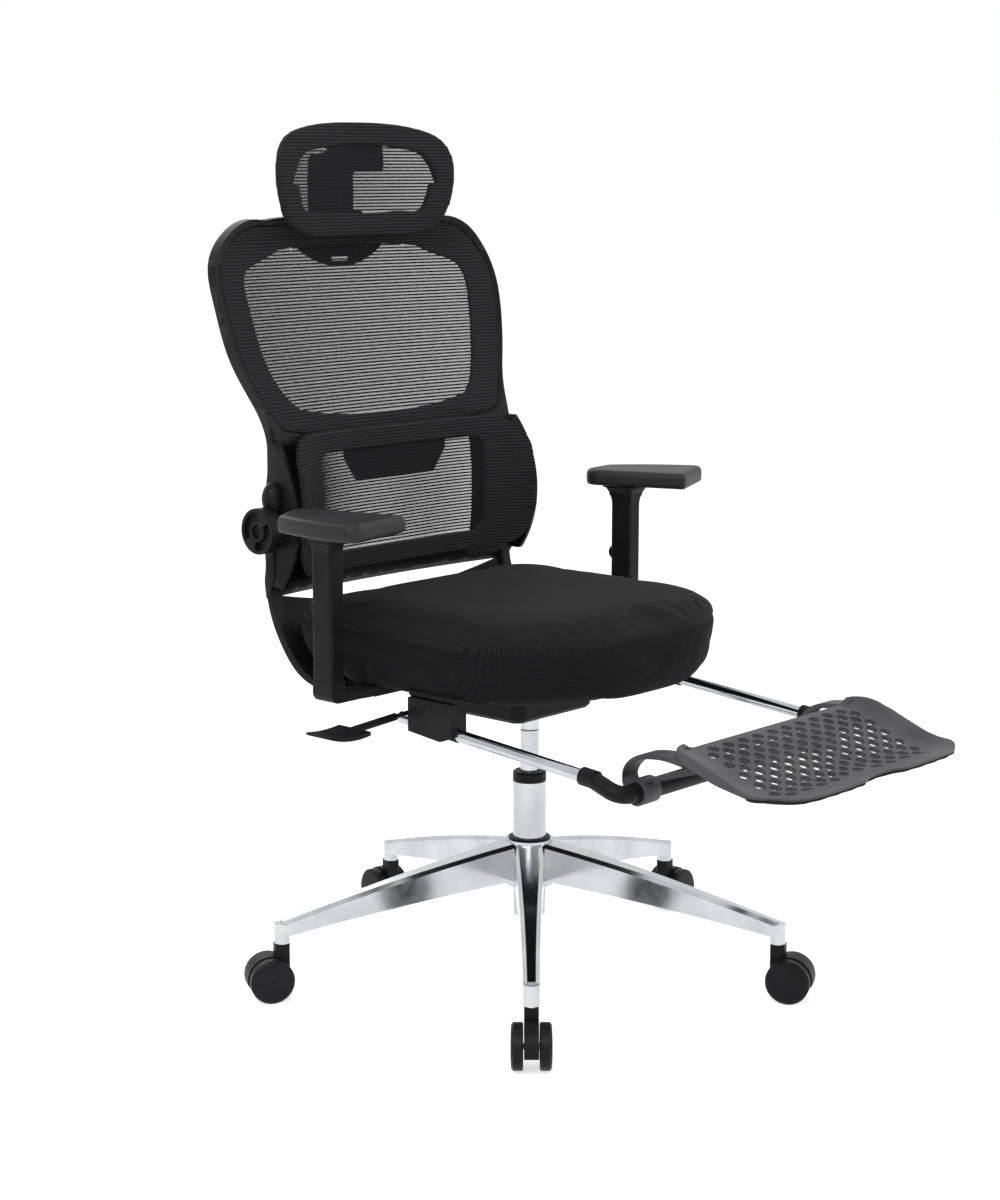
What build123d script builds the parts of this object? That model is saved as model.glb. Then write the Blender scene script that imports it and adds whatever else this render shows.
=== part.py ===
from build123d import *
from math import cos, radians, sin, tan
import os

# Reclining office chair with a pull-out footrest.
# Millimetres, +Z up, the sitter faces -Y, the floor is Z = 0.

os.makedirs("parts", exist_ok=True)

# ---- sizes -----------------------------------------------------------------
# Where the lift column stands behind the middle of the chair's length.
COLUMN_Y = 96.0

# Star base
ARM_COUNT = 5
FIRST_ARM_ANGLE = 6.1
CASTER_CIRCLE_R = 350.0
HUB_R = 32.0
HUB_BOTTOM = 128.0
HUB_TOP = 193.0
ARM_ROOT_TOP = 190.0
ARM_ROOT_BOTTOM = 138.0
ARM_TIP_TOP = 107.0
ARM_TIP_BOTTOM = 86.0
ARM_ROOT_WIDTH = 42.0
ARM_TIP_WIDTH = 21.0
ARM_CROWN = 4.0
ARM_CHAMFER = 5.0
ARM_WALL = 3.2
ARM_RIBS = 5
RIB_THICKNESS = 2.4
SOCKET_BOTTOM = 77.0
HUB_RING_WIDTH = 6.0
HUB_RING_HEIGHT = 7.6
HUB_RING_SINK = 5.0

# Lift column
TUBE_R = 23.0
TUBE_WALL = 1.8
TUBE_TAPER = 1.0
TUBE_BOTTOM = 85.0
TUBE_TOP = 274.0
TUBE_FLOOR = 3.0
COLLAR_HEIGHT = 14.0
BUSH_LENGTH = 84.0
PISTON_R = 13.0
PISTON_TOP = 411.0
PISTON_BOTTOM = 176.0
GROOVE_Z = 346.5
GROOVE_DEPTH = 0.8
ROD_R = 5.0
ROD_TOP = 300.0
BEARING_HEIGHT = 13.0
BEARING_R = 15.0
LIFT_DOWN = 70.0
PIN_R = 2.5
PIN_TOP = 420.3
PIN_LENGTH = 22.0
PIN_TRAVEL = 7.0
SLIDE_CLEARANCE = 0.08
FREE_CLEARANCE = 0.4

# Castors
WHEEL_R = 30.0
WHEEL_WIDTH = 16.0
WHEEL_GAP = 1.0
FORK_WIDTH = 18.6
FORK_TRAIL = 18.0
FORK_LEAD = 9.0
FORK_HOOD = 1.5
FORK_UNDERSIDE = 24.0
AXLE_R = 4.0
STEM_R = 5.5
STEM_IN_FORK = 30.0
STEM_IN_ARM = 24.0

# Tilt housing and seat pan
HOUSING_HALF_WIDTH = 80.0
HOUSING_FRONT = -50.0
HOUSING_REAR = 130.0
HOUSING_BOTTOM = 372.0
HOUSING_WALL = 4.0
PAN_BOTTOM = 432.0
PAN_THICKNESS = 8.0
PAN_HALF_WIDTH = 195.0
PAN_FRONT = -95.0
PAN_REAR = 188.0
PAN_CORNER_R = 45.0
BOLT_R = 4.0
BOLT_HEAD_R = 7.0
BOLT_HEAD_HEIGHT = 3.0

# Seat cushion
SEAT_HALF_WIDTH = 250.0
SEAT_FRONT = -235.0
SEAT_REAR = 245.0
SEAT_SEAM_Z = 500.0
SEAT_FRONT_BOTTOM = 426.0
SEAT_STEP = -102.0
SEAT_EDGE_TOP = 520.0
SEAT_CROWN = 530.0

# Recline pivot
PIVOT_U = 100.0
PIVOT_Z = 405.0
SHAFT_R = 6.0
EAR_THICKNESS = 7.0
EAR_R = 17.0
EAR_GAP = 1.0
SPRING_R = 15.0
SPRING_LENGTH = 90.0

# Arms
ARM_X = 300.0
ARM_U = 80.0
SLEEVE_LENGTH = 36.0
SLEEVE_WIDTH = 24.0
SLEEVE_WALL = 2.6
SLEEVE_BOTTOM = 450.3
SLEEVE_TOP = 645.5
SLEEVE_NECK = 30.0
NECK_LENGTH = 58.0
NECK_WIDTH = 46.0
POST_CLEARANCE = 0.4
POST_TOP = 602.0
FOOT_BOTTOM = 422.0
FOOT_INNER = 112.0
FOOT_BEND_R = 12.0
BUTTON_R = 9.0
BUTTON_Z = 545.0
BUTTON_PROUD = 7.0
BUTTON_BOSS = 3.0
BUTTON_STEM_R = 3.0
BUTTON_STEM_REACH = 6.0
LATCH_SLOT_DEPTH = 8.5
LATCH_SLOT_WIDTH = 9.0
ARM_PAD_THICKNESS = 23.0
ARM_PAD_GAP = 0.5
ARM_PAD_EDGE_R = 7.0
ARM_PAD_PIVOT_R = 12.0
ARM_PAD_PIVOT_DEPTH = 12.0
LEFT_PAD_TURN = 36.0

# Lever
LEVER_U = 0.0
LEVER_ROD_R = 3.0
LEVER_DROOP = 3.5
LEVER_HINGE_Z = 419.0
LEVER_ROD_END = 345.0
LEVER_SLEEVE_R = 5.0
LEVER_SLEEVE_FROM = 260.0
PADDLE_FROM = 338.0
PADDLE_TO = 396.0
PADDLE_WIDTH = 58.0
PADDLE_THICKNESS = 5.0

# Back frame
BACK_SAG = 28.0
BACK_SAG_HALF = 300.0
BACK_DEPTH = 17.0
BACK_REBATE = 7.0
BACK_LEDGE = 14.0
BACK_HALF_WIDTH = 240.0
BACK_POST_WIDTH = 24.0
CROSSBAR_TOP = 553.0
CROSSBAR_BOTTOM = 527.0
PANEL_BOTTOM = 753.0
PANEL_FOOT = 16.0
CHEEK_FRONT = 200.0
CHEEK_REAR = 256.0
CHEEK_THICKNESS = 9.0
CHEEK_BOTTOM = 545.0
CHEEK_TOP = 742.0
J_ARM_X = 230.5
J_ARM_WIDTH = 20.0
J_ARM_THICKNESS = 12.0
PANEL_BORDER = 42.0
MESH_THICKNESS = 1.2
MESH_SINK = 3.0
LUMBAR_WINDOW_TOP = 715.0
YOKE_U = 158.0
YOKE_Z = 402.0
YOKE_LENGTH = 24.0
YOKE_HEIGHT = 18.0
YOKE_HALF_WIDTH = 150.0

# Lumbar support
LUMBAR_THICKNESS = 9.0
CHEEK_GAP = 3.5
LUG_GAP = 0.3
LUMBAR_TOP = 746.0
LUMBAR_BOTTOM = 552.0
LUMBAR_HALF_WIDTH = 229.0
LUMBAR_WINDOW_HALF = 164.0
LUMBAR_BORDER = 28.0
LUMBAR_U = 244.0
LUMBAR_WRAP = 56.0
KNOB_R = 31.0
KNOB_THICKNESS = 22.0
KNOB_STAND = 13.0
KNOB_U = 240.0
KNOB_Z = 625.0
KNOB_GAP = 0.5
KNOB_SHAFT_R = 6.0
KNOB_RECESS = 3.0

# Headrest
HEADREST_TOP = 1163.0
HEADREST_BOTTOM = 1008.0
HEADREST_HALF_WIDTH = 170.0
HEADREST_THICKNESS = 13.0
HEADREST_SAG = 18.0
HEADREST_BORDER = 30.0
HEADREST_U = 313.0
POST_WIDTH = 84.0
POST_THICKNESS = 8.0
POST_U = 380.0
POST_BOTTOM = 982.0
SOCKET_HALF_WIDTH = 88.0
SOCKET_LOW = 963.0
SOCKET_JOIN = 1020.0
SOCKET_TOP = 1040.0
SOCKET_PLATE = 4.0
SOCKET_WALL = 5.0
HEAD_HINGE_U = 365.0
HEAD_HINGE_Z = 1110.0
HEAD_HINGE_R = 9.0
HEAD_PIN_R = 3.0
HEAD_BRACKET_HALF = 52.0
HEAD_BRACKET_THICKNESS = 6.0

# Footrest
FOOT_TUBE_X = 229.0
FOOT_TUBE_R = 8.0
FOOT_TUBE_WALL = 1.5
FOOT_TUBE_U = -80.0
FOOT_TUBE_Z = 391.0
FOOT_TUBE_SLOPE = 4.55
FOOT_TUBE_REAR = 20.0
ELBOW_U = -308.0
ELBOW_R = 11.0
CROSS_U = -349.0
CROSS_Z = 358.0
CROSS_R = 12.5
CROSS_HALF = 205.0
ELBOW_BEND_R = 18.0
RAIL_FRONT = -83.0
RAIL_REAR = -6.0
RAIL_WIDTH = 28.0
RAIL_COLLAR = 9.6
FOOTREST_HALF_WIDTH = 196.0
FOOTREST_FRONT = -576.0
FOOTREST_SHEET = 5.0
HOOK_WIDTH = 25.0
HOOK_WALL = 4.0
HOOK_GAP = 0.3
FOOTREST_COLUMNS = 23
FOOTREST_ROWS = 5
FOOTREST_LIP = 7.0
FOOTREST_LIP_WIDTH = 7.0
HOLE_WIDTH = 9.0
HOLE_LENGTH = 16.0
HOLE_PITCH = 24.0
HOLE_FIRST_U = -424.0

# ---- planes ----------------------------------------------------------------
# FLOOR lies on the ground at the column, SIDE looks along X (across, up) and
# FRONT looks forward along -Y.
FLOOR = Plane(origin=(0, COLUMN_Y, 0))
SIDE = Plane(origin=(0, COLUMN_Y, 0), x_dir=(0, 1, 0), z_dir=(1, 0, 0))
FRONT = Plane(origin=(0, COLUMN_Y, 0), x_dir=(1, 0, 0), z_dir=(0, -1, 0))


def radial_plane(angle):
    """Upright plane through the column: local X outward, local Y up."""
    out = (cos(radians(angle)), sin(radians(angle)), 0)
    return Plane(origin=(0, COLUMN_Y, 0), x_dir=out, z_dir=(out[1], -out[0], 0))


def cross_plane(angle, radius):
    """Plane across an arm of the base at a radius: local Y up."""
    c, s = cos(radians(angle)), sin(radians(angle))
    return Plane(origin=(radius * c, COLUMN_Y + radius * s, 0), x_dir=(-s, c, 0), z_dir=(c, s, 0))


def save(piece, name):
    piece.part.label = name
    export_step(piece.part, "parts/" + name + ".step")


# ---- star base -------------------------------------------------------------
arm_angles = [FIRST_ARM_ANGLE + 360 / ARM_COUNT * k for k in range(ARM_COUNT)]
ARM_START = HUB_R - 6
ARM_END = CASTER_CIRCLE_R


def arm_share(radius):
    return (radius - ARM_START) / (ARM_END - ARM_START)


def arm_top(radius):
    t = arm_share(radius)
    return ARM_ROOT_TOP + (ARM_TIP_TOP - ARM_ROOT_TOP) * t + 4 * ARM_CROWN * t * (1 - t)


def arm_bottom(radius):
    t = arm_share(radius)
    return ARM_ROOT_BOTTOM + (ARM_TIP_BOTTOM - ARM_ROOT_BOTTOM) * t + 3 * ARM_CROWN * t * (1 - t)


def arm_width(radius):
    t = arm_share(radius)
    return ARM_TIP_WIDTH + (ARM_ROOT_WIDTH - ARM_TIP_WIDTH) * (1 - t) ** 1.6


def arm_section(angle, radius, inset, below):
    """House-shaped section of an arm, its top edges bevelled."""
    half = arm_width(radius) / 2 - inset
    top = arm_top(radius) - inset
    low = arm_bottom(radius) - below
    bevel = ARM_CHAMFER - inset * 0.4
    with BuildSketch(cross_plane(angle, radius)) as section:
        Polygon(
            (-half, low), (half, low), (half, top - bevel),
            (half - bevel, top), (-half + bevel, top), (-half, top - bevel),
            align=None,
        )
    return section.sketch


arm_radii = [ARM_START + (ARM_END - ARM_START) * t for t in (0, 0.3, 0.65, 1)]
with BuildPart() as base_star:
    for angle in arm_angles:
        loft([arm_section(angle, r, 0, 0) for r in arm_radii])
    for angle in arm_angles:
        loft([arm_section(angle, r, ARM_WALL, 8) for r in arm_radii], mode=Mode.SUBTRACT)
    # cross ribs inside each arm
    for angle in arm_angles:
        for k in range(ARM_RIBS):
            r = HUB_R + (CASTER_CIRCLE_R - HUB_R) * (k + 0.8) / (ARM_RIBS + 0.6)
            with BuildSketch(cross_plane(angle, r)):
                low = arm_bottom(r) + 5
                high = arm_top(r) - ARM_WALL / 2
                with Locations((0, (low + high) / 2)):
                    Rectangle(arm_width(r) - ARM_WALL * 2.6, high - low)
            extrude(amount=RIB_THICKNESS / 2, both=True)
    # hub and castor sockets
    with BuildSketch(FLOOR.offset(HUB_BOTTOM)):
        Circle(HUB_R)
    extrude(amount=HUB_TOP - HUB_BOTTOM)
    with BuildSketch(FLOOR.offset(SOCKET_BOTTOM)):
        with PolarLocations(CASTER_CIRCLE_R, ARM_COUNT, start_angle=FIRST_ARM_ANGLE):
            Circle(ARM_TIP_WIDTH / 2)
    extrude(amount=ARM_TIP_TOP - ARM_CHAMFER / 2 - SOCKET_BOTTOM)
    # tapered bore for the column, seat for the hub ring
    with BuildSketch(SIDE):
        Polygon(
            (0, HUB_BOTTOM), (TUBE_R - TUBE_TAPER, HUB_BOTTOM), (TUBE_R, HUB_TOP - HUB_RING_SINK),
            (TUBE_R + HUB_RING_WIDTH, HUB_TOP - HUB_RING_SINK), (TUBE_R + HUB_RING_WIDTH, HUB_TOP),
            (0, HUB_TOP), align=None,
        )
    revolve(axis=Axis((0, COLUMN_Y, 0), (0, 0, 1)), mode=Mode.SUBTRACT)
    # bores for the castor stems
    with BuildSketch(FLOOR.offset(SOCKET_BOTTOM)):
        with PolarLocations(CASTER_CIRCLE_R, ARM_COUNT, start_angle=FIRST_ARM_ANGLE):
            Circle(STEM_R)
    extrude(amount=STEM_IN_ARM, mode=Mode.SUBTRACT)
save(base_star, "base_star")

with BuildPart() as hub_ring:
    with BuildSketch(FLOOR.offset(HUB_TOP - HUB_RING_SINK)):
        Circle(TUBE_R + HUB_RING_WIDTH)
        Circle(TUBE_R, mode=Mode.SUBTRACT)
    extrude(amount=HUB_RING_HEIGHT)
    chamfer(hub_ring.edges().group_by(Axis.Z)[-1].sort_by(SortBy.RADIUS)[-1], length=1.5)
save(hub_ring, "hub_ring")

# ---- lift column -----------------------------------------------------------
column_axis = Axis((0, COLUMN_Y, 0), (0, 0, 1))
tube_bore = TUBE_R - TUBE_WALL
with BuildPart() as lift_tube:
    with BuildSketch(SIDE):
        Polygon(
            (ROD_R + FREE_CLEARANCE, TUBE_BOTTOM), (TUBE_R - TUBE_TAPER, TUBE_BOTTOM),
            (TUBE_R - TUBE_TAPER, HUB_BOTTOM), (TUBE_R, HUB_TOP - HUB_RING_SINK), (TUBE_R, TUBE_TOP),
            (tube_bore, TUBE_TOP), (tube_bore, HUB_TOP - HUB_RING_SINK),
            (tube_bore - TUBE_TAPER, HUB_BOTTOM), (tube_bore - TUBE_TAPER, TUBE_BOTTOM + TUBE_FLOOR),
            (ROD_R + FREE_CLEARANCE, TUBE_BOTTOM + TUBE_FLOOR), align=None,
        )
    revolve(axis=column_axis)
save(lift_tube, "lift_tube")

with BuildPart() as lift_guide_bush:
    with BuildSketch(SIDE):
        Polygon(
            (PISTON_R + SLIDE_CLEARANCE, TUBE_TOP - BUSH_LENGTH), (tube_bore, TUBE_TOP - BUSH_LENGTH),
            (tube_bore, TUBE_TOP), (TUBE_R, TUBE_TOP), (TUBE_R, TUBE_TOP + COLLAR_HEIGHT - 2),
            (TUBE_R - 2, TUBE_TOP + COLLAR_HEIGHT),
            (PISTON_R + SLIDE_CLEARANCE, TUBE_TOP + COLLAR_HEIGHT), align=None,
        )
    revolve(axis=column_axis)
save(lift_guide_bush, "lift_guide_bush")

bearing_bottom = TUBE_BOTTOM + TUBE_FLOOR
bearing_top = bearing_bottom + BEARING_HEIGHT
with BuildPart() as lift_bearing_set:
    # two washers with the rubber damper between them
    for low, high, outer in (
        (bearing_bottom, bearing_bottom + 3, BEARING_R),
        (bearing_bottom + 3, bearing_top - 3, BEARING_R - 2),
        (bearing_top - 3, bearing_top, BEARING_R),
    ):
        with BuildSketch(FLOOR.offset(low)):
            Circle(outer)
            Circle(ROD_R + FREE_CLEARANCE, mode=Mode.SUBTRACT)
        extrude(amount=high - low)
save(lift_bearing_set, "lift_bearing_set")

with BuildPart() as lift_rod:
    flange_top = bearing_top + SLIDE_CLEARANCE + 3
    with BuildSketch(SIDE):
        Polygon(
            (0, TUBE_BOTTOM - 6), (ROD_R + 3, TUBE_BOTTOM - 6), (ROD_R + 3, TUBE_BOTTOM - SLIDE_CLEARANCE),
            (ROD_R, TUBE_BOTTOM - SLIDE_CLEARANCE), (ROD_R, bearing_top + SLIDE_CLEARANCE),
            (ROD_R + 5, bearing_top + SLIDE_CLEARANCE), (ROD_R + 5, flange_top), (ROD_R, flange_top),
            (ROD_R, ROD_TOP), (0, ROD_TOP), align=None,
        )
    revolve(axis=column_axis)
save(lift_rod, "lift_rod")

rod_chamber_top = ROD_TOP + LIFT_DOWN + 2
with BuildPart() as lift_cylinder:
    with BuildSketch(SIDE):
        Polygon(
            (ROD_R + SLIDE_CLEARANCE, PISTON_BOTTOM), (PISTON_R, PISTON_BOTTOM),
            (PISTON_R, GROOVE_Z - 1), (PISTON_R - GROOVE_DEPTH, GROOVE_Z), (PISTON_R, GROOVE_Z + 1),
            (PISTON_R, PISTON_TOP - 2), (PISTON_R - 2, PISTON_TOP), (PIN_R + SLIDE_CLEARANCE, PISTON_TOP),
            (PIN_R + SLIDE_CLEARANCE, PIN_TOP - PIN_LENGTH - PIN_TRAVEL - 1),
            (0, PIN_TOP - PIN_LENGTH - PIN_TRAVEL - 1), (0, rod_chamber_top),
            (ROD_R + SLIDE_CLEARANCE, rod_chamber_top), align=None,
        )
    revolve(axis=column_axis)
save(lift_cylinder, "lift_cylinder")

with BuildPart() as lift_pin:
    with BuildSketch(FLOOR.offset(PIN_TOP - PIN_LENGTH)):
        Circle(PIN_R)
    extrude(amount=PIN_LENGTH)
save(lift_pin, "lift_pin")

# ---- castors ---------------------------------------------------------------
axle_radius = CASTER_CIRCLE_R + FORK_TRAIL
wheel_inner = FORK_WIDTH / 2 + WHEEL_GAP
wheel_outer = wheel_inner + WHEEL_WIDTH
stem_bottom = SOCKET_BOTTOM - STEM_IN_FORK
fork_top = SOCKET_BOTTOM - 0.5

with BuildPart() as caster_stems:
    with BuildSketch(FLOOR.offset(stem_bottom)):
        with PolarLocations(CASTER_CIRCLE_R, ARM_COUNT, start_angle=FIRST_ARM_ANGLE):
            Circle(STEM_R)
    extrude(amount=STEM_IN_FORK + STEM_IN_ARM)
    chamfer(caster_stems.edges().group_by(Axis.Z)[0], length=1)
save(caster_stems, "caster_stems")

for number, angle in enumerate(arm_angles, 1):
    upright = radial_plane(angle)
    stem_spot = cross_plane(angle, CASTER_CIRCLE_R).origin
    # fork block: a hood between the wheels that rises into the stem's barrel
    with BuildPart() as fork:
        with BuildSketch(upright):
            with Locations((axle_radius, WHEEL_R)):
                Circle(WHEEL_R + FORK_HOOD)
            with Locations((CASTER_CIRCLE_R + 1, (WHEEL_R + fork_top) / 2)):
                Rectangle(2 * FORK_LEAD + 2, fork_top - WHEEL_R)
            with Locations((CASTER_CIRCLE_R - FORK_LEAD, 0)):
                Rectangle(WHEEL_R, 4 * WHEEL_R, align=(Align.MAX, Align.MIN), mode=Mode.SUBTRACT)
            with Locations((axle_radius, FORK_UNDERSIDE)):
                Rectangle(4 * WHEEL_R, WHEEL_R, align=(Align.CENTER, Align.MAX), mode=Mode.SUBTRACT)
        extrude(amount=FORK_WIDTH / 2, both=True)
        fillet(fork.edges().filter_by(Axis.Z).sort_by(Axis.Z)[-4:], radius=3)
        with BuildSketch(Plane(origin=(stem_spot.X, stem_spot.Y, stem_bottom - 0.3))):
            Circle(STEM_R + SLIDE_CLEARANCE)
        extrude(amount=STEM_IN_FORK + 1, mode=Mode.SUBTRACT)
        with BuildSketch(upright):
            with Locations((axle_radius, WHEEL_R)):
                Circle(AXLE_R)
        extrude(amount=FORK_WIDTH, both=True, mode=Mode.SUBTRACT)
    save(fork, "caster_" + str(number) + "_fork")

    # axle: a pin through the fork, its ends inside the wheels
    with BuildPart() as axle:
        with BuildSketch(upright):
            with Locations((axle_radius, WHEEL_R)):
                Circle(AXLE_R)
        extrude(amount=wheel_outer - 4, both=True)
    save(axle, "caster_" + str(number) + "_axle")

    # two wheels: domed disc, tread ring, dished inner side
    with BuildPart() as wheels:
        across = Plane(
            origin=cross_plane(angle, axle_radius).origin,
            x_dir=(-sin(radians(angle)), cos(radians(angle)), 0),
            z_dir=(cos(radians(angle)), sin(radians(angle)), 0),
        )
        bore_r = AXLE_R + SLIDE_CLEARANCE
        with BuildSketch(across):
            with BuildLine():
                Polyline(
                    (wheel_inner, WHEEL_R + bore_r), (wheel_inner, WHEEL_R + 9),
                    (wheel_inner + 5, WHEEL_R + 11), (wheel_inner + 5, 2 * WHEEL_R - 6),
                    (wheel_inner, 2 * WHEEL_R - 4), (wheel_inner, 2 * WHEEL_R - 1.5),
                    (wheel_inner + 1.5, 2 * WHEEL_R), (wheel_outer - 3.5, 2 * WHEEL_R),
                    (wheel_outer - 1, 2 * WHEEL_R - 3),
                )
                ThreePointArc(
                    (wheel_outer - 1, 2 * WHEEL_R - 3), (wheel_outer - 0.2, WHEEL_R + 14),
                    (wheel_outer, WHEEL_R + 1),
                )
                Polyline(
                    (wheel_outer, WHEEL_R + 1), (wheel_outer - 3.5, WHEEL_R + 1),
                    (wheel_outer - 3.5, WHEEL_R + bore_r), (wheel_inner, WHEEL_R + bore_r),
                )
            make_face()
        wheel_axis = Axis(across.from_local_coords((0, WHEEL_R, 0)), across.x_dir)
        revolve(axis=wheel_axis)
        mirror(about=upright)
    save(wheels, "caster_" + str(number) + "_wheels")

# ---- tilt housing, pan and cushion -----------------------------------------
shaft_axis_x = HOUSING_HALF_WIDTH + EAR_GAP + EAR_THICKNESS
lever_axis = Plane(
    origin=(-HOUSING_HALF_WIDTH + HOUSING_WALL / 2, COLUMN_Y + LEVER_U, LEVER_HINGE_Z),
    x_dir=(0, 1, 0), z_dir=(-cos(radians(LEVER_DROOP)), 0, -sin(radians(LEVER_DROOP))),
)
with BuildPart() as tilt_housing:
    middle = (HOUSING_FRONT + HOUSING_REAR) / 2
    with BuildSketch(FLOOR.offset(HOUSING_BOTTOM)):
        with Locations((0, middle)):
            RectangleRounded(2 * HOUSING_HALF_WIDTH, HOUSING_REAR - HOUSING_FRONT, 18)
    extrude(amount=PAN_BOTTOM - HOUSING_BOTTOM)
    chamfer(tilt_housing.faces().sort_by(Axis.Z)[0].edges(), length=5)
    with BuildSketch(FLOOR.offset(HOUSING_BOTTOM + HOUSING_WALL)):
        with Locations((0, middle)):
            RectangleRounded(
                2 * (HOUSING_HALF_WIDTH - HOUSING_WALL),
                HOUSING_REAR - HOUSING_FRONT - 2 * HOUSING_WALL, 14,
            )
    extrude(amount=PAN_BOTTOM - HOUSING_BOTTOM, mode=Mode.SUBTRACT)
    # cone socket for the column and bosses for the pan bolts
    with BuildSketch(FLOOR.offset(HOUSING_BOTTOM)):
        Circle(PISTON_R + 5)
    extrude(amount=PISTON_TOP - 3 - HOUSING_BOTTOM)
    with BuildSketch(FLOOR.offset(HOUSING_BOTTOM + 1)):
        with Locations((0, middle)):
            with GridLocations(
                2 * HOUSING_HALF_WIDTH - 34, HOUSING_REAR - HOUSING_FRONT - 34, 2, 2
            ):
                Circle(BOLT_HEAD_R + 2)
    extrude(amount=PAN_BOTTOM - HOUSING_BOTTOM - 1)
    with BuildSketch(FLOOR.offset(HOUSING_BOTTOM)):
        Circle(PISTON_R)
    extrude(amount=PAN_BOTTOM - HOUSING_BOTTOM, mode=Mode.SUBTRACT)
    with BuildSketch(FLOOR.offset(PAN_BOTTOM)):
        with Locations((0, middle)):
            with GridLocations(
                2 * HOUSING_HALF_WIDTH - 34, HOUSING_REAR - HOUSING_FRONT - 34, 2, 2
            ):
                Circle(BOLT_R)
    extrude(amount=-24, mode=Mode.SUBTRACT)
    # bore for the recline shaft and hole for the lever
    with BuildSketch(SIDE):
        with Locations((PIVOT_U, PIVOT_Z)):
            Circle(SHAFT_R)
    extrude(amount=HOUSING_HALF_WIDTH + 1, both=True, mode=Mode.SUBTRACT)
    with BuildSketch(lever_axis):
        Circle(LEVER_ROD_R + FREE_CLEARANCE)
    extrude(amount=HOUSING_WALL * 2, both=True, mode=Mode.SUBTRACT)
save(tilt_housing, "tilt_housing")

with BuildPart() as seat_pan:
    pan_middle = (PAN_FRONT + PAN_REAR) / 2
    with BuildSketch(FLOOR.offset(PAN_BOTTOM)):
        with Locations((0, pan_middle)):
            RectangleRounded(2 * PAN_HALF_WIDTH, PAN_REAR - PAN_FRONT, PAN_CORNER_R)
        # wider in front, over the footrest rails
        with Locations((0, (PAN_FRONT + RAIL_REAR + 8) / 2)):
            RectangleRounded(2 * FOOT_TUBE_X + 22, RAIL_REAR + 8 - PAN_FRONT, 12)
    extrude(amount=PAN_THICKNESS)
    chamfer(seat_pan.faces().sort_by(Axis.Z)[0].edges(), length=2.5)
    # bolt holes down into the housing
    with BuildSketch(FLOOR.offset(PAN_BOTTOM)):
        with Locations((0, (HOUSING_FRONT + HOUSING_REAR) / 2)):
            with GridLocations(
                2 * HOUSING_HALF_WIDTH - 34, HOUSING_REAR - HOUSING_FRONT - 34, 2, 2
            ):
                Circle(BOLT_R)
    extrude(amount=PAN_THICKNESS, mode=Mode.SUBTRACT)
    with BuildSketch(FLOOR.offset(PAN_BOTTOM + PAN_THICKNESS - BOLT_HEAD_HEIGHT)):
        with Locations((0, (HOUSING_FRONT + HOUSING_REAR) / 2)):
            with GridLocations(
                2 * HOUSING_HALF_WIDTH - 34, HOUSING_REAR - HOUSING_FRONT - 34, 2, 2
            ):
                Circle(BOLT_HEAD_R)
    extrude(amount=BOLT_HEAD_HEIGHT, mode=Mode.SUBTRACT)
save(seat_pan, "seat_pan")

with BuildPart() as seat_bolts:
    with BuildSketch(FLOOR.offset(PAN_BOTTOM - 22)):
        with Locations((0, (HOUSING_FRONT + HOUSING_REAR) / 2)):
            with GridLocations(
                2 * HOUSING_HALF_WIDTH - 34, HOUSING_REAR - HOUSING_FRONT - 34, 2, 2
            ):
                Circle(BOLT_R)
    extrude(amount=22 + PAN_THICKNESS - BOLT_HEAD_HEIGHT)
    with BuildSketch(FLOOR.offset(PAN_BOTTOM + PAN_THICKNESS - BOLT_HEAD_HEIGHT)):
        with Locations((0, (HOUSING_FRONT + HOUSING_REAR) / 2)):
            with GridLocations(
                2 * HOUSING_HALF_WIDTH - 34, HOUSING_REAR - HOUSING_FRONT - 34, 2, 2
            ):
                Circle(BOLT_HEAD_R)
    extrude(amount=BOLT_HEAD_HEIGHT)
save(seat_bolts, "seat_bolts")


def cushion_outline(height, inset):
    """Plan of the cushion: bowed front with round corners, squarer at the rear."""
    w, f, b = SEAT_HALF_WIDTH - inset, SEAT_FRONT + inset, SEAT_REAR - inset
    front_corner, rear_corner = 0.55 * w, 0.28 * w
    with BuildSketch(FLOOR.offset(height)) as outline:
        with BuildLine():
            Spline(
                (0, f), (w * 0.5, f + front_corner * 0.1), (w * 0.86, f + front_corner * 0.52),
                (w, f + front_corner * 1.5), tangents=[(1, 0), (0, 1)],
            )
            Line((w, f + front_corner * 1.5), (w - 4, b - rear_corner))
            Spline(
                (w - 4, b - rear_corner), (w - 4 - rear_corner * 0.28, b - rear_corner * 0.28),
                (w - 4 - rear_corner, b - 3), tangents=[(-0.05, 1), (-1, 0.05)],
            )
            Spline(
                (w - 4 - rear_corner, b - 3), (0, b), tangents=[(-1, 0.05), (-1, 0)],
            )
            mirror(about=Plane.YZ)
        make_face()
    return outline.sketch


# height and draw-in of the outline: belly, drawn-in lower side, seam, rounded edge, crown
cushion_stages = (
    ((SEAT_FRONT_BOTTOM, 36), (SEAT_FRONT_BOTTOM + 30, 9), (SEAT_SEAM_Z, 0)),
    ((SEAT_SEAM_Z, 0), (SEAT_EDGE_TOP - 7, 5), (SEAT_EDGE_TOP, 17)),
    ((SEAT_EDGE_TOP, 17), (SEAT_EDGE_TOP + 6, 46), (SEAT_CROWN, 110)),
)
pan_top = PAN_BOTTOM + PAN_THICKNESS
with BuildPart() as seat_cushion:
    for stage in cushion_stages:
        loft([cushion_outline(height, inset) for height, inset in stage])
    # the rear of the underside is higher and lies on the pan
    with BuildSketch(FLOOR):
        with Locations((0, SEAT_STEP)):
            Rectangle(3 * SEAT_HALF_WIDTH, 3 * SEAT_REAR, align=(Align.CENTER, Align.MIN))
    extrude(amount=pan_top, mode=Mode.SUBTRACT)
save(seat_cushion, "seat_cushion")

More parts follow.
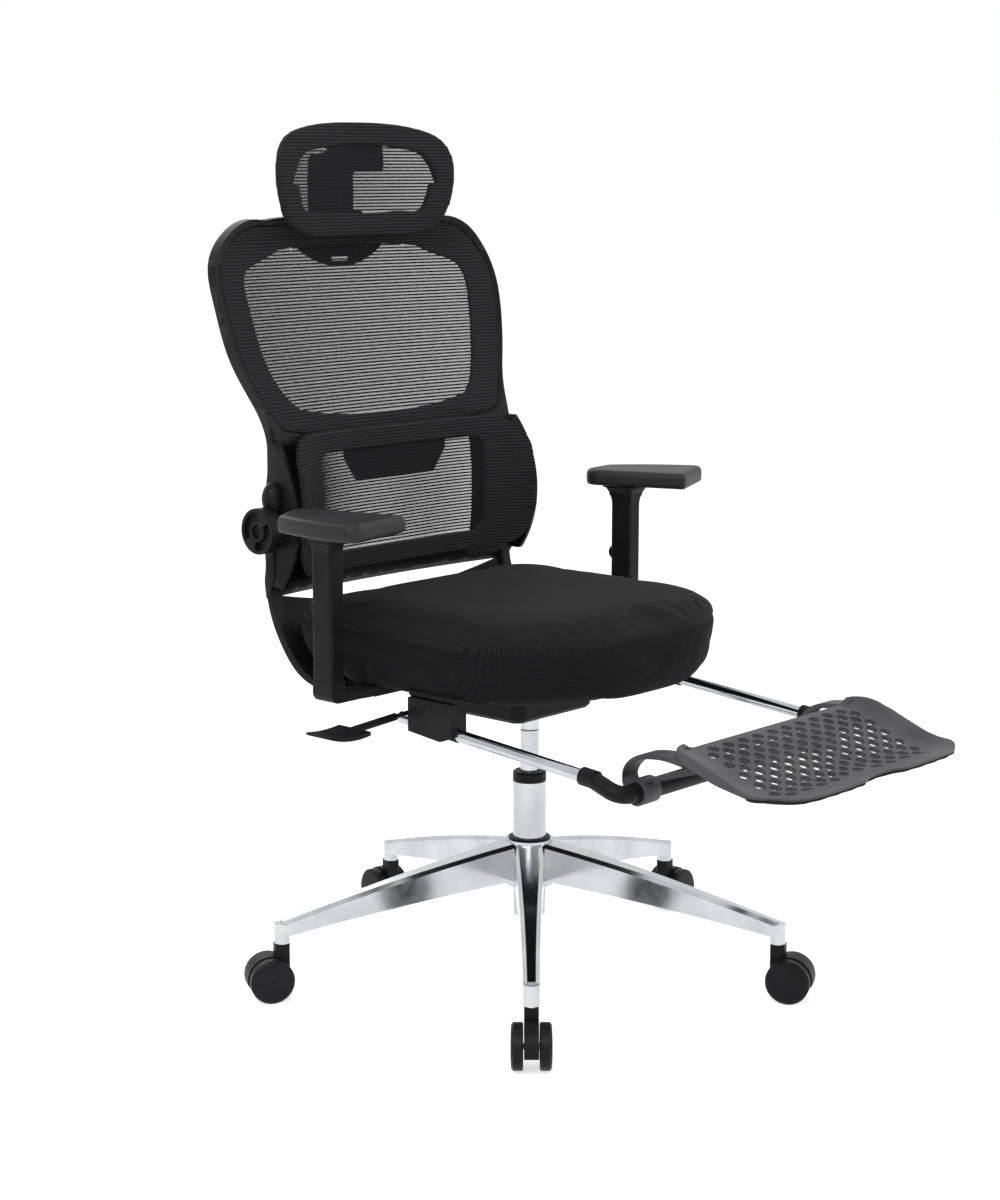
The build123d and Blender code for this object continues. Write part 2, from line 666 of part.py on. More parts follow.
# ---- recline shaft and spring ----------------------------------------------
with BuildPart() as recline_shaft:
    with BuildSketch(SIDE):
        with Locations((PIVOT_U, PIVOT_Z)):
            Circle(SHAFT_R)
    extrude(amount=shaft_axis_x + 5, both=True)
save(recline_shaft, "recline_shaft")

with BuildPart() as recline_spring:
    # torsion bush of rubber on the shaft, which winds up as the back reclines
    with BuildSketch(SIDE):
        with Locations((PIVOT_U, PIVOT_Z)):
            Circle(SPRING_R)
            Circle(SHAFT_R, mode=Mode.SUBTRACT)
    extrude(amount=SPRING_LENGTH / 2, both=True)
save(recline_spring, "recline_spring")

# ---- back frame ------------------------------------------------------------
# The back is bowed: every level is a shallow arc, and the levels lean back.
back_levels = [
    (470, 273), (540, 271), (620, 267), (690, 264), (748, 268), (800, 291),
    (860, 313), (930, 331), (1000, 347), (1060, 364),
]


def bowed_slab(levels, front, rear):
    """Sections of a bowed slab between two depths behind the back's front face."""
    sections = []
    w = BACK_SAG_HALF
    for height, depth in levels:
        near, far = depth + front, depth + rear
        with BuildSketch(FLOOR.offset(height)) as section:
            with BuildLine():
                ThreePointArc((-w, near - BACK_SAG), (0, near), (w, near - BACK_SAG))
                Line((w, near - BACK_SAG), (w, far - BACK_SAG))
                ThreePointArc((w, far - BACK_SAG), (0, far), (-w, far - BACK_SAG))
                Line((-w, far - BACK_SAG), (-w, near - BACK_SAG))
            make_face()
        sections.append(section.sketch)
    return sections


def back_outline():
    """Front view of the back frame's outer edge."""
    with BuildSketch(FRONT) as outline:
        with BuildLine():
            Spline(
                (240, CROSSBAR_BOTTOM), (244, 580), (235, 700), (238, 778), (259, 838),
                (272, 915), (268, 970), (238, 1012), (165, 1030),
            )
            Spline((165, 1030), (0, 1036), tangents=[(-1, 0.12), (-1, 0)])
            Line((0, CROSSBAR_BOTTOM), (240, CROSSBAR_BOTTOM))
            mirror(about=Plane.YZ)
        make_face()
    return outline.sketch


def panel_outline(inset):
    """Front view of the upper panel, drawn in by an inset."""
    side = inset * 1.15
    with BuildSketch(FRONT) as outline:
        with BuildLine():
            Spline(
                (213 - side, PANEL_BOTTOM + inset * 0.6), (233 - side, 790 + inset * 0.2),
                (253 - side, 845), (264 - side, 915), (259 - side, 966 - inset * 0.2),
                (230 - side, 1004 - inset * 0.75), (160 - inset * 0.5, 1022 - inset * 0.8),
            )
            Spline(
                (160 - inset * 0.5, 1022 - inset * 0.8), (0, 1028 - inset * 0.8),
                tangents=[(-1, 0.12), (-1, 0)],
            )
            Spline(
                (0, PANEL_BOTTOM - PANEL_FOOT + inset * 0.6), (213 - side, PANEL_BOTTOM + inset * 0.6),
                tangents=[(1, 0), (1, 0.25)],
            )
            mirror(about=Plane.YZ)
        make_face()
    return outline.sketch


FRAME_REACH = 520.0

with BuildPart() as panel_space:
    loft(bowed_slab(back_levels, -40, BACK_REBATE))
    with BuildSketch(FRONT):
        add(panel_outline(0))
    extrude(amount=-FRAME_REACH, mode=Mode.INTERSECT)

with BuildPart() as back_frame:
    loft(bowed_slab(back_levels, 0, BACK_DEPTH))
    with BuildSketch(FRONT):
        add(back_outline())
    extrude(amount=-FRAME_REACH, mode=Mode.INTERSECT)
    # window behind the upper panel and the step that the panel lies in
    with BuildSketch(FRONT):
        add(panel_outline(BACK_LEDGE))
    extrude(amount=-FRAME_REACH, mode=Mode.SUBTRACT)
    add(panel_space.part, mode=Mode.SUBTRACT)
    # opening behind the lumbar support
    with BuildSketch(FRONT):
        with Locations((0, CROSSBAR_TOP)):
            Rectangle(
                2 * (BACK_HALF_WIDTH - BACK_POST_WIDTH), LUMBAR_WINDOW_TOP - CROSSBAR_TOP,
                align=(Align.CENTER, Align.MIN),
            )
    extrude(amount=-FRAME_REACH, mode=Mode.SUBTRACT)
    # cheeks that stand forward beside the lumbar support
    for side in (-1, 1):
        with BuildSketch(SIDE.offset(side * (LUMBAR_HALF_WIDTH + CHEEK_THICKNESS / 2 + CHEEK_GAP))):
            with BuildLine():
                Polyline(
                    (CHEEK_REAR, CHEEK_TOP), (CHEEK_REAR, CHEEK_BOTTOM), (CHEEK_FRONT + 30, CHEEK_BOTTOM)
                )
                ThreePointArc(
                    (CHEEK_FRONT + 30, CHEEK_BOTTOM), (CHEEK_FRONT, 640), (CHEEK_FRONT + 42, CHEEK_TOP)
                )
                Line((CHEEK_FRONT + 42, CHEEK_TOP), (CHEEK_REAR, CHEEK_TOP))
            make_face()
        extrude(amount=CHEEK_THICKNESS / 2, both=True)
    # J-shaped arms that run down, forward and in under the seat
    for side in (-1, 1):
        with BuildLine() as j_path:
            Spline(
                (side * J_ARM_X, COLUMN_Y + 260, CROSSBAR_BOTTOM + 18),
                (side * J_ARM_X, COLUMN_Y + 251, 505), (side * (J_ARM_X + 1), COLUMN_Y + 227, 464),
                (side * 219, COLUMN_Y + 192, 423), (side * 188, COLUMN_Y + 168, 408),
                (side * YOKE_HALF_WIDTH, COLUMN_Y + YOKE_U, YOKE_Z),
                tangents=[(0, -0.1, -1), (-side, 0, 0)],
            )
        with BuildSketch(Plane(j_path.line @ 0, x_dir=(1, 0, 0), z_dir=j_path.line % 0)):
            RectangleRounded(J_ARM_WIDTH, J_ARM_THICKNESS, 3)
        sweep(path=j_path.line)
    for side in (-1, 1):
        with BuildSketch(SIDE.offset(side * YOKE_HALF_WIDTH)):
            with Locations((KNOB_U, KNOB_Z)):
                Circle(KNOB_SHAFT_R + SLIDE_CLEARANCE)
        extrude(amount=side * 200, mode=Mode.SUBTRACT)
save(back_frame, "back_frame")

with BuildPart() as recline_bracket:
    with BuildSketch(SIDE):
        with Locations((YOKE_U, YOKE_Z)):
            RectangleRounded(YOKE_LENGTH, YOKE_HEIGHT, 3)
    extrude(amount=YOKE_HALF_WIDTH, both=True)
    # ears to the shaft, one each side of the housing
    for side in (-1, 1):
        with BuildSketch(SIDE.offset(side * (HOUSING_HALF_WIDTH + EAR_GAP))):
            with BuildLine():
                Polyline(
                    (YOKE_U, YOKE_Z + YOKE_HEIGHT / 2), (PIVOT_U, PIVOT_Z + EAR_R),
                )
                ThreePointArc(
                    (PIVOT_U, PIVOT_Z + EAR_R), (PIVOT_U - EAR_R, PIVOT_Z), (PIVOT_U, PIVOT_Z - EAR_R)
                )
                Polyline(
                    (PIVOT_U, PIVOT_Z - EAR_R), (YOKE_U, YOKE_Z - YOKE_HEIGHT / 2),
                    (YOKE_U, YOKE_Z + YOKE_HEIGHT / 2),
                )
            make_face()
            with Locations((PIVOT_U, PIVOT_Z)):
                Circle(SHAFT_R + SLIDE_CLEARANCE, mode=Mode.SUBTRACT)
        extrude(amount=side * EAR_THICKNESS)
save(recline_bracket, "recline_bracket")

with BuildPart() as upper_mesh_rim:
    loft(bowed_slab(back_levels, 0, BACK_REBATE))
    with BuildSketch(FRONT):
        add(panel_outline(0))
    extrude(amount=-FRAME_REACH, mode=Mode.INTERSECT)
    with BuildSketch(FRONT):
        add(panel_outline(PANEL_BORDER))
    extrude(amount=-FRAME_REACH, mode=Mode.SUBTRACT)
save(upper_mesh_rim, "upper_mesh_rim")

with BuildPart() as upper_mesh:
    loft(bowed_slab(back_levels, MESH_SINK, MESH_SINK + MESH_THICKNESS))
    with BuildSketch(FRONT):
        add(panel_outline(PANEL_BORDER))
    extrude(amount=-FRAME_REACH, mode=Mode.INTERSECT)
save(upper_mesh, "upper_mesh")

# ---- lumbar support --------------------------------------------------------
# It wraps round the sitter: its ends come forward, its top edge leans back.
lumbar_levels = [
    (LUMBAR_BOTTOM - 10, 0.80), (600, 0.94), (650, 1.0), (690, 0.96), (722, 0.74), (LUMBAR_TOP + 6, 0.36),
]


def lumbar_slab(front, rear):
    sections = []
    w = LUMBAR_HALF_WIDTH + 6
    for height, share in lumbar_levels:
        wrap = LUMBAR_WRAP * share
        with BuildSketch(FLOOR.offset(height)) as section:
            with BuildLine():
                for depth in (front, rear):
                    Spline(
                        (-w, LUMBAR_U + depth - wrap), (-w * 0.68, LUMBAR_U + depth - wrap * 0.2),
                        (0, LUMBAR_U + depth), (w * 0.68, LUMBAR_U + depth - wrap * 0.2),
                        (w, LUMBAR_U + depth - wrap),
                    )
                Line((-w, LUMBAR_U + front - wrap), (-w, LUMBAR_U + rear - wrap))
                Line((w, LUMBAR_U + front - wrap), (w, LUMBAR_U + rear - wrap))
            make_face()
        sections.append(section.sketch)
    return sections


def lumbar_outline(inset):
    w = LUMBAR_HALF_WIDTH if inset == 0 else LUMBAR_WINDOW_HALF
    with BuildSketch(FRONT) as outline:
        with Locations((0, (LUMBAR_TOP + LUMBAR_BOTTOM) / 2)):
            RectangleRounded(2 * w, LUMBAR_TOP - LUMBAR_BOTTOM - 2 * inset, 34 - inset * 0.4)
    return outline.sketch


with BuildPart() as lumbar_frame:
    loft(lumbar_slab(0, LUMBAR_THICKNESS))
    with BuildSketch(FRONT):
        add(lumbar_outline(0))
    extrude(amount=-FRAME_REACH, mode=Mode.INTERSECT)
    with BuildSketch(FRONT):
        add(lumbar_outline(LUMBAR_BORDER))
    extrude(amount=-FRAME_REACH, mode=Mode.SUBTRACT)
    # lugs that slide along the cheeks
    for side in (-1, 1):
        with BuildSketch(SIDE.offset(side * (LUMBAR_HALF_WIDTH - 7))):
            with Locations((CHEEK_FRONT + 8, KNOB_Z)):
                RectangleRounded(34, 30, 4)
        extrude(amount=side * (7 + CHEEK_GAP - LUG_GAP))
save(lumbar_frame, "lumbar_frame")

with BuildPart() as lumbar_mesh:
    loft(lumbar_slab(MESH_SINK, MESH_SINK + MESH_THICKNESS))
    with BuildSketch(FRONT):
        add(lumbar_outline(LUMBAR_BORDER))
    extrude(amount=-FRAME_REACH, mode=Mode.INTERSECT)
save(lumbar_mesh, "lumbar_mesh")

# trapezoid bar behind the mesh, fixed to the frame's top border
BAR_TOP_HALF = 100.0
BAR_LOW_HALF = 70.0
BAR_LOW = 672.0
BAR_THICKNESS = 3.5
with BuildPart() as lumbar_bar:
    loft(lumbar_slab(LUMBAR_THICKNESS, LUMBAR_THICKNESS + BAR_THICKNESS))
    with BuildSketch(FRONT) as bar_outline:
        Polygon(
            (-BAR_TOP_HALF, LUMBAR_TOP - 14), (-BAR_TOP_HALF, 706), (-BAR_LOW_HALF - 6, BAR_LOW),
            (BAR_LOW_HALF + 6, BAR_LOW), (BAR_TOP_HALF, 706), (BAR_TOP_HALF, LUMBAR_TOP - 14),
            align=None,
        )
        fillet(bar_outline.vertices().group_by(Axis.Z)[0], radius=10)
    extrude(amount=-FRAME_REACH, mode=Mode.INTERSECT)
save(lumbar_bar, "lumbar_bar")


def lumbar_knob(name, side):
    """Round knob outside a cheek; its shaft reaches in through the cheek."""
    outer = LUMBAR_HALF_WIDTH + CHEEK_GAP + CHEEK_THICKNESS
    start = outer + KNOB_GAP + KNOB_STAND
    with BuildPart() as knob:
        with BuildSketch(SIDE.offset(side * start)):
            with Locations((KNOB_U, KNOB_Z)):
                Circle(KNOB_R)
        extrude(amount=side * KNOB_THICKNESS)
        face_edges = knob.edges().filter_by(GeomType.CIRCLE).sort_by(Axis.X)
        fillet(face_edges[-1 if side > 0 else 0], radius=3)
        # recessed face with a six-sided grip left standing
        with BuildSketch(SIDE.offset(side * (start + KNOB_THICKNESS))):
            with Locations((KNOB_U, KNOB_Z)):
                Circle(KNOB_R - 6)
                RegularPolygon(KNOB_R * 0.52, 6, mode=Mode.SUBTRACT)
                Rectangle(2 * KNOB_R, 7, rotation=35, mode=Mode.SUBTRACT)
        extrude(amount=-side * KNOB_RECESS, mode=Mode.SUBTRACT)
        with BuildSketch(SIDE.offset(side * (LUMBAR_HALF_WIDTH + 3.9))):
            with Locations((KNOB_U, KNOB_Z)):
                Circle(KNOB_SHAFT_R)
        extrude(amount=side * (start - LUMBAR_HALF_WIDTH - 3.9))
    save(knob, name)


lumbar_knob("lumbar_knob", -1)

# ---- headrest --------------------------------------------------------------
head_levels = [(HEADREST_BOTTOM - 12, 4), (1060, 0), (1110, 1), (HEADREST_TOP + 10, 8)]


def head_slab(front, rear):
    """Bowed slab of the headrest, ends forward."""
    sections = []
    w = HEADREST_HALF_WIDTH + 10
    for height, lean in head_levels:
        near, far = HEADREST_U + lean + front, HEADREST_U + lean + rear
        with BuildSketch(FLOOR.offset(height)) as section:
            with BuildLine():
                ThreePointArc((-w, near - HEADREST_SAG), (0, near), (w, near - HEADREST_SAG))
                Line((w, near - HEADREST_SAG), (w, far - HEADREST_SAG))
                ThreePointArc((w, far - HEADREST_SAG), (0, far), (-w, far - HEADREST_SAG))
                Line((-w, far - HEADREST_SAG), (-w, near - HEADREST_SAG))
            make_face()
        sections.append(section.sketch)
    return sections


def head_outline(inset):
    """Front view of the headrest: wide at the top, narrower at the bottom."""
    w = HEADREST_HALF_WIDTH - inset
    top, low = HEADREST_TOP - inset, HEADREST_BOTTOM + inset
    with BuildSketch(FRONT) as outline:
        with BuildLine():
            Spline(
                (0, top), (w * 0.62, top - 7), (w * 0.93, top - 30), (w, top - 58),
                (w * 0.97, low + 50 - inset * 0.3), (w * 0.86, low + 17 - inset * 0.2),
                (w * 0.62, low + 2), (0, low), tangents=[(1, 0), (-1, 0)],
            )
            mirror(about=Plane.YZ)
        make_face()
    return outline.sketch


with BuildPart() as headrest_frame:
    loft(head_slab(0, HEADREST_THICKNESS))
    with BuildSketch(FRONT):
        add(head_outline(0))
    extrude(amount=-FRAME_REACH, mode=Mode.INTERSECT)
    with BuildSketch(FRONT):
        add(head_outline(HEADREST_BORDER))
    extrude(amount=-FRAME_REACH, mode=Mode.SUBTRACT)
save(headrest_frame, "headrest_frame")

with BuildPart() as headrest_mesh:
    loft(head_slab(MESH_SINK, MESH_SINK + MESH_THICKNESS))
    with BuildSketch(FRONT):
        add(head_outline(HEADREST_BORDER))
    extrude(amount=-FRAME_REACH, mode=Mode.INTERSECT)
save(headrest_mesh, "headrest_mesh")

# bracket: a plate on the frame's top border with two ears round the hinge
knuckle_half = HEAD_BRACKET_HALF - 16
with BuildPart() as headrest_bracket:
    loft(head_slab(HEADREST_THICKNESS, HEADREST_THICKNESS + HEAD_BRACKET_THICKNESS))
    with BuildSketch(FRONT):
        with Locations((0, HEAD_HINGE_Z + 10)):
            RectangleRounded(2 * HEAD_BRACKET_HALF, 50, 8)
    extrude(amount=-FRAME_REACH, mode=Mode.INTERSECT)
    for side in (-1, 1):
        with BuildSketch(SIDE.offset(side * (knuckle_half + 0.5))):
            with BuildLine():
                Polyline(
                    (HEADREST_U + HEADREST_THICKNESS + 2, HEAD_HINGE_Z - 12),
                    (HEAD_HINGE_U, HEAD_HINGE_Z - HEAD_HINGE_R),
                )
                ThreePointArc(
                    (HEAD_HINGE_U, HEAD_HINGE_Z - HEAD_HINGE_R),
                    (HEAD_HINGE_U + HEAD_HINGE_R, HEAD_HINGE_Z),
                    (HEAD_HINGE_U, HEAD_HINGE_Z + HEAD_HINGE_R),
                )
                Polyline(
                    (HEAD_HINGE_U, HEAD_HINGE_Z + HEAD_HINGE_R),
                    (HEADREST_U + HEADREST_THICKNESS + 2, HEAD_HINGE_Z + 14),
                    (HEADREST_U + HEADREST_THICKNESS + 2, HEAD_HINGE_Z - 12),
                )
            make_face()
        extrude(amount=side * 12)
    with BuildSketch(SIDE):
        with Locations((HEAD_HINGE_U, HEAD_HINGE_Z)):
            Circle(HEAD_PIN_R)
    extrude(amount=knuckle_half + 6, both=True)
save(headrest_bracket, "headrest_bracket")

with BuildPart() as headrest_post:
    with BuildSketch(FLOOR.offset(POST_BOTTOM)):
        with Locations((0, POST_U)):
            RectangleRounded(POST_WIDTH, POST_THICKNESS, 2)
    extrude(amount=HEAD_HINGE_Z - 6 - POST_BOTTOM)
    with BuildSketch(SIDE):
        with BuildLine():
            Polyline(
                (POST_U + POST_THICKNESS / 2, HEAD_HINGE_Z - 30),
                (POST_U + POST_THICKNESS / 2, HEAD_HINGE_Z + 2),
                (HEAD_HINGE_U, HEAD_HINGE_Z + HEAD_HINGE_R),
            )
            ThreePointArc(
                (HEAD_HINGE_U, HEAD_HINGE_Z + HEAD_HINGE_R), (HEAD_HINGE_U - HEAD_HINGE_R, HEAD_HINGE_Z),
                (HEAD_HINGE_U, HEAD_HINGE_Z - HEAD_HINGE_R),
            )
            Polyline(
                (HEAD_HINGE_U, HEAD_HINGE_Z - HEAD_HINGE_R),
                (POST_U - POST_THICKNESS / 2, HEAD_HINGE_Z - 30),
                (POST_U + POST_THICKNESS / 2, HEAD_HINGE_Z - 30),
            )
        make_face()
        with Locations((HEAD_HINGE_U, HEAD_HINGE_Z)):
            Circle(HEAD_PIN_R + SLIDE_CLEARANCE, mode=Mode.SUBTRACT)
    extrude(amount=knuckle_half - 0.5, both=True)
save(headrest_post, "headrest_post")

with BuildPart() as socket_block:
    loft(bowed_slab(back_levels, BACK_DEPTH, BACK_DEPTH + 60))
    with BuildSketch(FRONT):
        with Locations((0, (POST_BOTTOM + 2 + SOCKET_TOP) / 2)):
            RectangleRounded(POST_WIDTH + 2 * SOCKET_WALL, SOCKET_TOP - POST_BOTTOM - 2, 4)
    extrude(amount=-(POST_U + POST_THICKNESS / 2 + SOCKET_WALL), mode=Mode.INTERSECT)

with BuildPart() as headrest_socket:
    loft(bowed_slab(back_levels, BACK_DEPTH, BACK_DEPTH + SOCKET_PLATE))
    with BuildSketch(FRONT):
        with BuildLine():
            Polyline(
                (SOCKET_HALF_WIDTH, SOCKET_JOIN - 24), (SOCKET_HALF_WIDTH, SOCKET_JOIN),
                (-SOCKET_HALF_WIDTH, SOCKET_JOIN), (-SOCKET_HALF_WIDTH, SOCKET_JOIN - 24),
            )
            ThreePointArc(
                (-SOCKET_HALF_WIDTH, SOCKET_JOIN - 24), (0, SOCKET_LOW),
                (SOCKET_HALF_WIDTH, SOCKET_JOIN - 24),
            )
        make_face()
        with Locations((0, SOCKET_LOW + 11)):
            SlotOverall(36, 6, mode=Mode.SUBTRACT)
        with Locations((-56, SOCKET_JOIN - 30), (56, SOCKET_JOIN - 30)):
            Circle(2.2, mode=Mode.SUBTRACT)
    extrude(amount=-FRAME_REACH, mode=Mode.INTERSECT)
    add(socket_block.part)
    with BuildSketch(FLOOR.offset(POST_BOTTOM - 10)):
        with Locations((0, POST_U)):
            RectangleRounded(
                POST_WIDTH + 2 * SLIDE_CLEARANCE, POST_THICKNESS + 2 * SLIDE_CLEARANCE, 2
            )
    extrude(amount=100, mode=Mode.SUBTRACT)
save(headrest_socket, "headrest_socket")

# ---- arms ------------------------------------------------------------------
foot_half = SLEEVE_LENGTH / 2
shoulder = SLEEVE_BOTTOM - 0.3
post_length = SLEEVE_LENGTH - 2 * SLEEVE_WALL - 2 * POST_CLEARANCE
post_width = SLEEVE_WIDTH - 2 * SLEEVE_WALL - 2 * POST_CLEARANCE
with BuildPart() as arm_bracket_right:
    with BuildSketch(FRONT.offset(-ARM_U)) as bracket_shape:
        inner, outer = -ARM_X + SLEEVE_WIDTH / 2, -ARM_X - SLEEVE_WIDTH / 2
        Polygon(
            (-FOOT_INNER, FOOT_BOTTOM), (outer, FOOT_BOTTOM), (outer, shoulder), (inner, shoulder),
            (inner, PAN_BOTTOM), (-FOOT_INNER, PAN_BOTTOM), align=None,
        )
        fillet(bracket_shape.vertices().group_by(Axis.Y)[0].sort_by(Axis.X)[0], radius=FOOT_BEND_R)
    extrude(amount=foot_half, both=True)
    # inner post inside the sleeve, with the slot for the height latch
    with BuildSketch(FLOOR.offset(shoulder)):
        with Locations((-ARM_X, ARM_U)):
            Rectangle(post_width, post_length)
    extrude(amount=POST_TOP - shoulder)
    with BuildSketch(FLOOR.offset(BUTTON_Z - 8)):
        with Locations((-ARM_X, ARM_U + post_length / 2)):
            Rectangle(LATCH_SLOT_WIDTH, 2 * LATCH_SLOT_DEPTH)
    extrude(amount=POST_TOP - BUTTON_Z + 8, mode=Mode.SUBTRACT)
save(arm_bracket_right, "arm_bracket_right")

with BuildPart() as arm_sleeve_right:
    neck_bottom = SLEEVE_TOP - SLEEVE_NECK
    with BuildSketch(FLOOR.offset(SLEEVE_BOTTOM)):
        with Locations((-ARM_X, ARM_U)):
            RectangleRounded(SLEEVE_WIDTH, SLEEVE_LENGTH, 4)
    extrude(amount=neck_bottom - SLEEVE_BOTTOM)
    # flared neck under the pad
    with BuildSketch(FLOOR.offset(neck_bottom)) as neck_low:
        with Locations((-ARM_X, ARM_U)):
            RectangleRounded(SLEEVE_WIDTH, SLEEVE_LENGTH, 4)
    with BuildSketch(FLOOR.offset(neck_bottom + SLEEVE_NECK * 0.6)) as neck_mid:
        with Locations((-ARM_X, ARM_U)):
            RectangleRounded(SLEEVE_WIDTH + 7, SLEEVE_LENGTH + 6, 5)
    with BuildSketch(FLOOR.offset(SLEEVE_TOP)) as neck_high:
        with Locations((-ARM_X, ARM_U)):
            RectangleRounded(NECK_WIDTH, NECK_LENGTH, 9)
    loft([neck_low.sketch, neck_mid.sketch, neck_high.sketch])
    # ring round the height button
    with BuildSketch(FRONT.offset(-ARM_U - foot_half)):
        with Locations((-ARM_X, BUTTON_Z)):
            Circle(BUTTON_R + 2)
    extrude(amount=-BUTTON_BOSS)
    with BuildSketch(FLOOR.offset(SLEEVE_BOTTOM)):
        with Locations((-ARM_X, ARM_U)):
            Rectangle(SLEEVE_WIDTH - 2 * SLEEVE_WALL, SLEEVE_LENGTH - 2 * SLEEVE_WALL)
    extrude(amount=POST_TOP + 6 - SLEEVE_BOTTOM, mode=Mode.SUBTRACT)
    with BuildSketch(FRONT.offset(-ARM_U)):
        with Locations((-ARM_X, BUTTON_Z)):
            Circle(BUTTON_R + SLIDE_CLEARANCE)
    extrude(amount=-50, mode=Mode.SUBTRACT)
    with BuildSketch(FLOOR.offset(SLEEVE_TOP)):
        with Locations((-ARM_X, ARM_U)):
            Circle(ARM_PAD_PIVOT_R + SLIDE_CLEARANCE)
    extrude(amount=-ARM_PAD_PIVOT_DEPTH - ARM_PAD_GAP, mode=Mode.SUBTRACT)
save(arm_sleeve_right, "arm_sleeve_right")

with BuildPart() as arm_button_right:
    button_face = foot_half + BUTTON_PROUD
    with BuildSketch(FRONT.offset(-ARM_U - button_face)):
        with Locations((-ARM_X, BUTTON_Z)):
            Circle(BUTTON_R)
    extrude(amount=BUTTON_PROUD - 0.6)
    fillet(arm_button_right.edges().group_by(Axis.Y)[-1], radius=2)
    with BuildSketch(FRONT.offset(-ARM_U - foot_half - 0.6)):
        with Locations((-ARM_X, BUTTON_Z)):
            Circle(BUTTON_STEM_R)
    extrude(amount=BUTTON_STEM_REACH)
save(arm_button_right, "arm_button_right")

pad_bottom = SLEEVE_TOP + ARM_PAD_GAP
with BuildPart() as arm_pad_right:
    with BuildSketch(FLOOR.offset(pad_bottom)) as pad_shape:
        with BuildLine():
            ThreePointArc((-ARM_X - 60, ARM_U - 112), (-ARM_X - 66, ARM_U - 40), (-ARM_X - 56, ARM_U + 32))
            Polyline(
                (-ARM_X - 56, ARM_U + 32), (-ARM_X + 10, ARM_U + 70), (-ARM_X + 54, ARM_U - 88),
                (-ARM_X - 60, ARM_U - 112),
            )
        make_face()
        fillet(pad_shape.vertices().group_by(Axis.Y)[-1], radius=24)
        fillet(pad_shape.vertices().group_by(Axis.Y)[0], radius=16)
    extrude(amount=ARM_PAD_THICKNESS)
    fillet(arm_pad_right.edges().group_by(Axis.Z)[-1], radius=ARM_PAD_EDGE_R)
    fillet(arm_pad_right.edges().group_by(Axis.Z)[0], radius=ARM_PAD_EDGE_R / 2)
    with BuildSketch(FLOOR.offset(pad_bottom)):
        with Locations((-ARM_X, ARM_U)):
            Circle(ARM_PAD_PIVOT_R)
    extrude(amount=-ARM_PAD_PIVOT_DEPTH)
save(arm_pad_right, "arm_pad_right")

# the left arm is the mirror image; its pad is turned out on its pivot
for name, right in (
    ("arm_bracket_left", arm_bracket_right), ("arm_sleeve_left", arm_sleeve_right),
    ("arm_button_left", arm_button_right),
):
    with BuildPart() as left:
        mirror(right.part, about=SIDE)
    save(left, name)

with BuildPart() as arm_pad_left:
    turned = mirror(arm_pad_right.part, about=SIDE, mode=Mode.PRIVATE)
    pad_pivot = Axis((ARM_X, COLUMN_Y + ARM_U, 0), (0, 0, 1))
    add(turned.rotate(pad_pivot, LEFT_PAD_TURN))
save(arm_pad_left, "arm_pad_left")

# ---- height lever ----------------------------------------------------------
droop = radians(LEVER_DROOP)


def lever_plane(distance):
    """Plane across the lever rod at a distance out from the column."""
    run = distance - HOUSING_HALF_WIDTH + HOUSING_WALL / 2
    return Plane(
        origin=(-distance, COLUMN_Y + LEVER_U, LEVER_HINGE_Z - run * tan(droop)),
        x_dir=(0, 1, 0), z_dir=(-cos(droop), 0, -sin(droop)),
    )


with BuildPart() as lever_rod:
    with BuildSketch(lever_plane(0)):
        Circle(LEVER_ROD_R)
    extrude(amount=LEVER_ROD_END / cos(droop))
save(lever_rod, "lever_rod")

with BuildPart() as lever_handle:
    with BuildSketch(lever_plane(LEVER_SLEEVE_FROM)):
        Circle(LEVER_SLEEVE_R)
    extrude(amount=PADDLE_FROM + 8 - LEVER_SLEEVE_FROM)
    paddle_z = lever_plane(PADDLE_FROM).origin.Z
    with BuildSketch(FRONT.offset(-LEVER_U)):
        with BuildLine():
            Spline(
                (-PADDLE_FROM + 6, paddle_z - PADDLE_THICKNESS / 2),
                (-PADDLE_FROM - 18, paddle_z - PADDLE_THICKNESS / 2 - 2),
                (-PADDLE_TO, paddle_z + 4 - PADDLE_THICKNESS / 2),
            )
            Line((-PADDLE_TO, paddle_z + 4 - PADDLE_THICKNESS / 2), (-PADDLE_TO, paddle_z + 4))
            Spline(
                (-PADDLE_TO, paddle_z + 4), (-PADDLE_FROM - 18, paddle_z + PADDLE_THICKNESS / 2 - 2),
                (-PADDLE_FROM + 6, paddle_z + PADDLE_THICKNESS / 2),
            )
            Line(
                (-PADDLE_FROM + 6, paddle_z + PADDLE_THICKNESS / 2),
                (-PADDLE_FROM + 6, paddle_z - PADDLE_THICKNESS / 2),
            )
        make_face()
    extrude(amount=PADDLE_WIDTH / 2, both=True)
    fillet(lever_handle.edges().filter_by(Axis.Z).sort_by(Axis.X)[:2], radius=12)
    with BuildSketch(lever_plane(LEVER_SLEEVE_FROM - 2)):
        Circle(LEVER_ROD_R)
    extrude(amount=(LEVER_ROD_END - LEVER_SLEEVE_FROM) / cos(droop) + 2, mode=Mode.SUBTRACT)
save(lever_handle, "lever_handle")

# ---- footrest --------------------------------------------------------------
slope = radians(FOOT_TUBE_SLOPE)


def tube_height(u):
    return FOOT_TUBE_Z + (u - FOOT_TUBE_U) * tan(slope)


def tube_plane(side, u):
    """Plane across a footrest tube: its normal runs forward and down."""
    return Plane(
        origin=(side * FOOT_TUBE_X, COLUMN_Y + u, tube_height(u)),
        x_dir=(1, 0, 0), z_dir=(0, -cos(slope), -sin(slope)),
    )


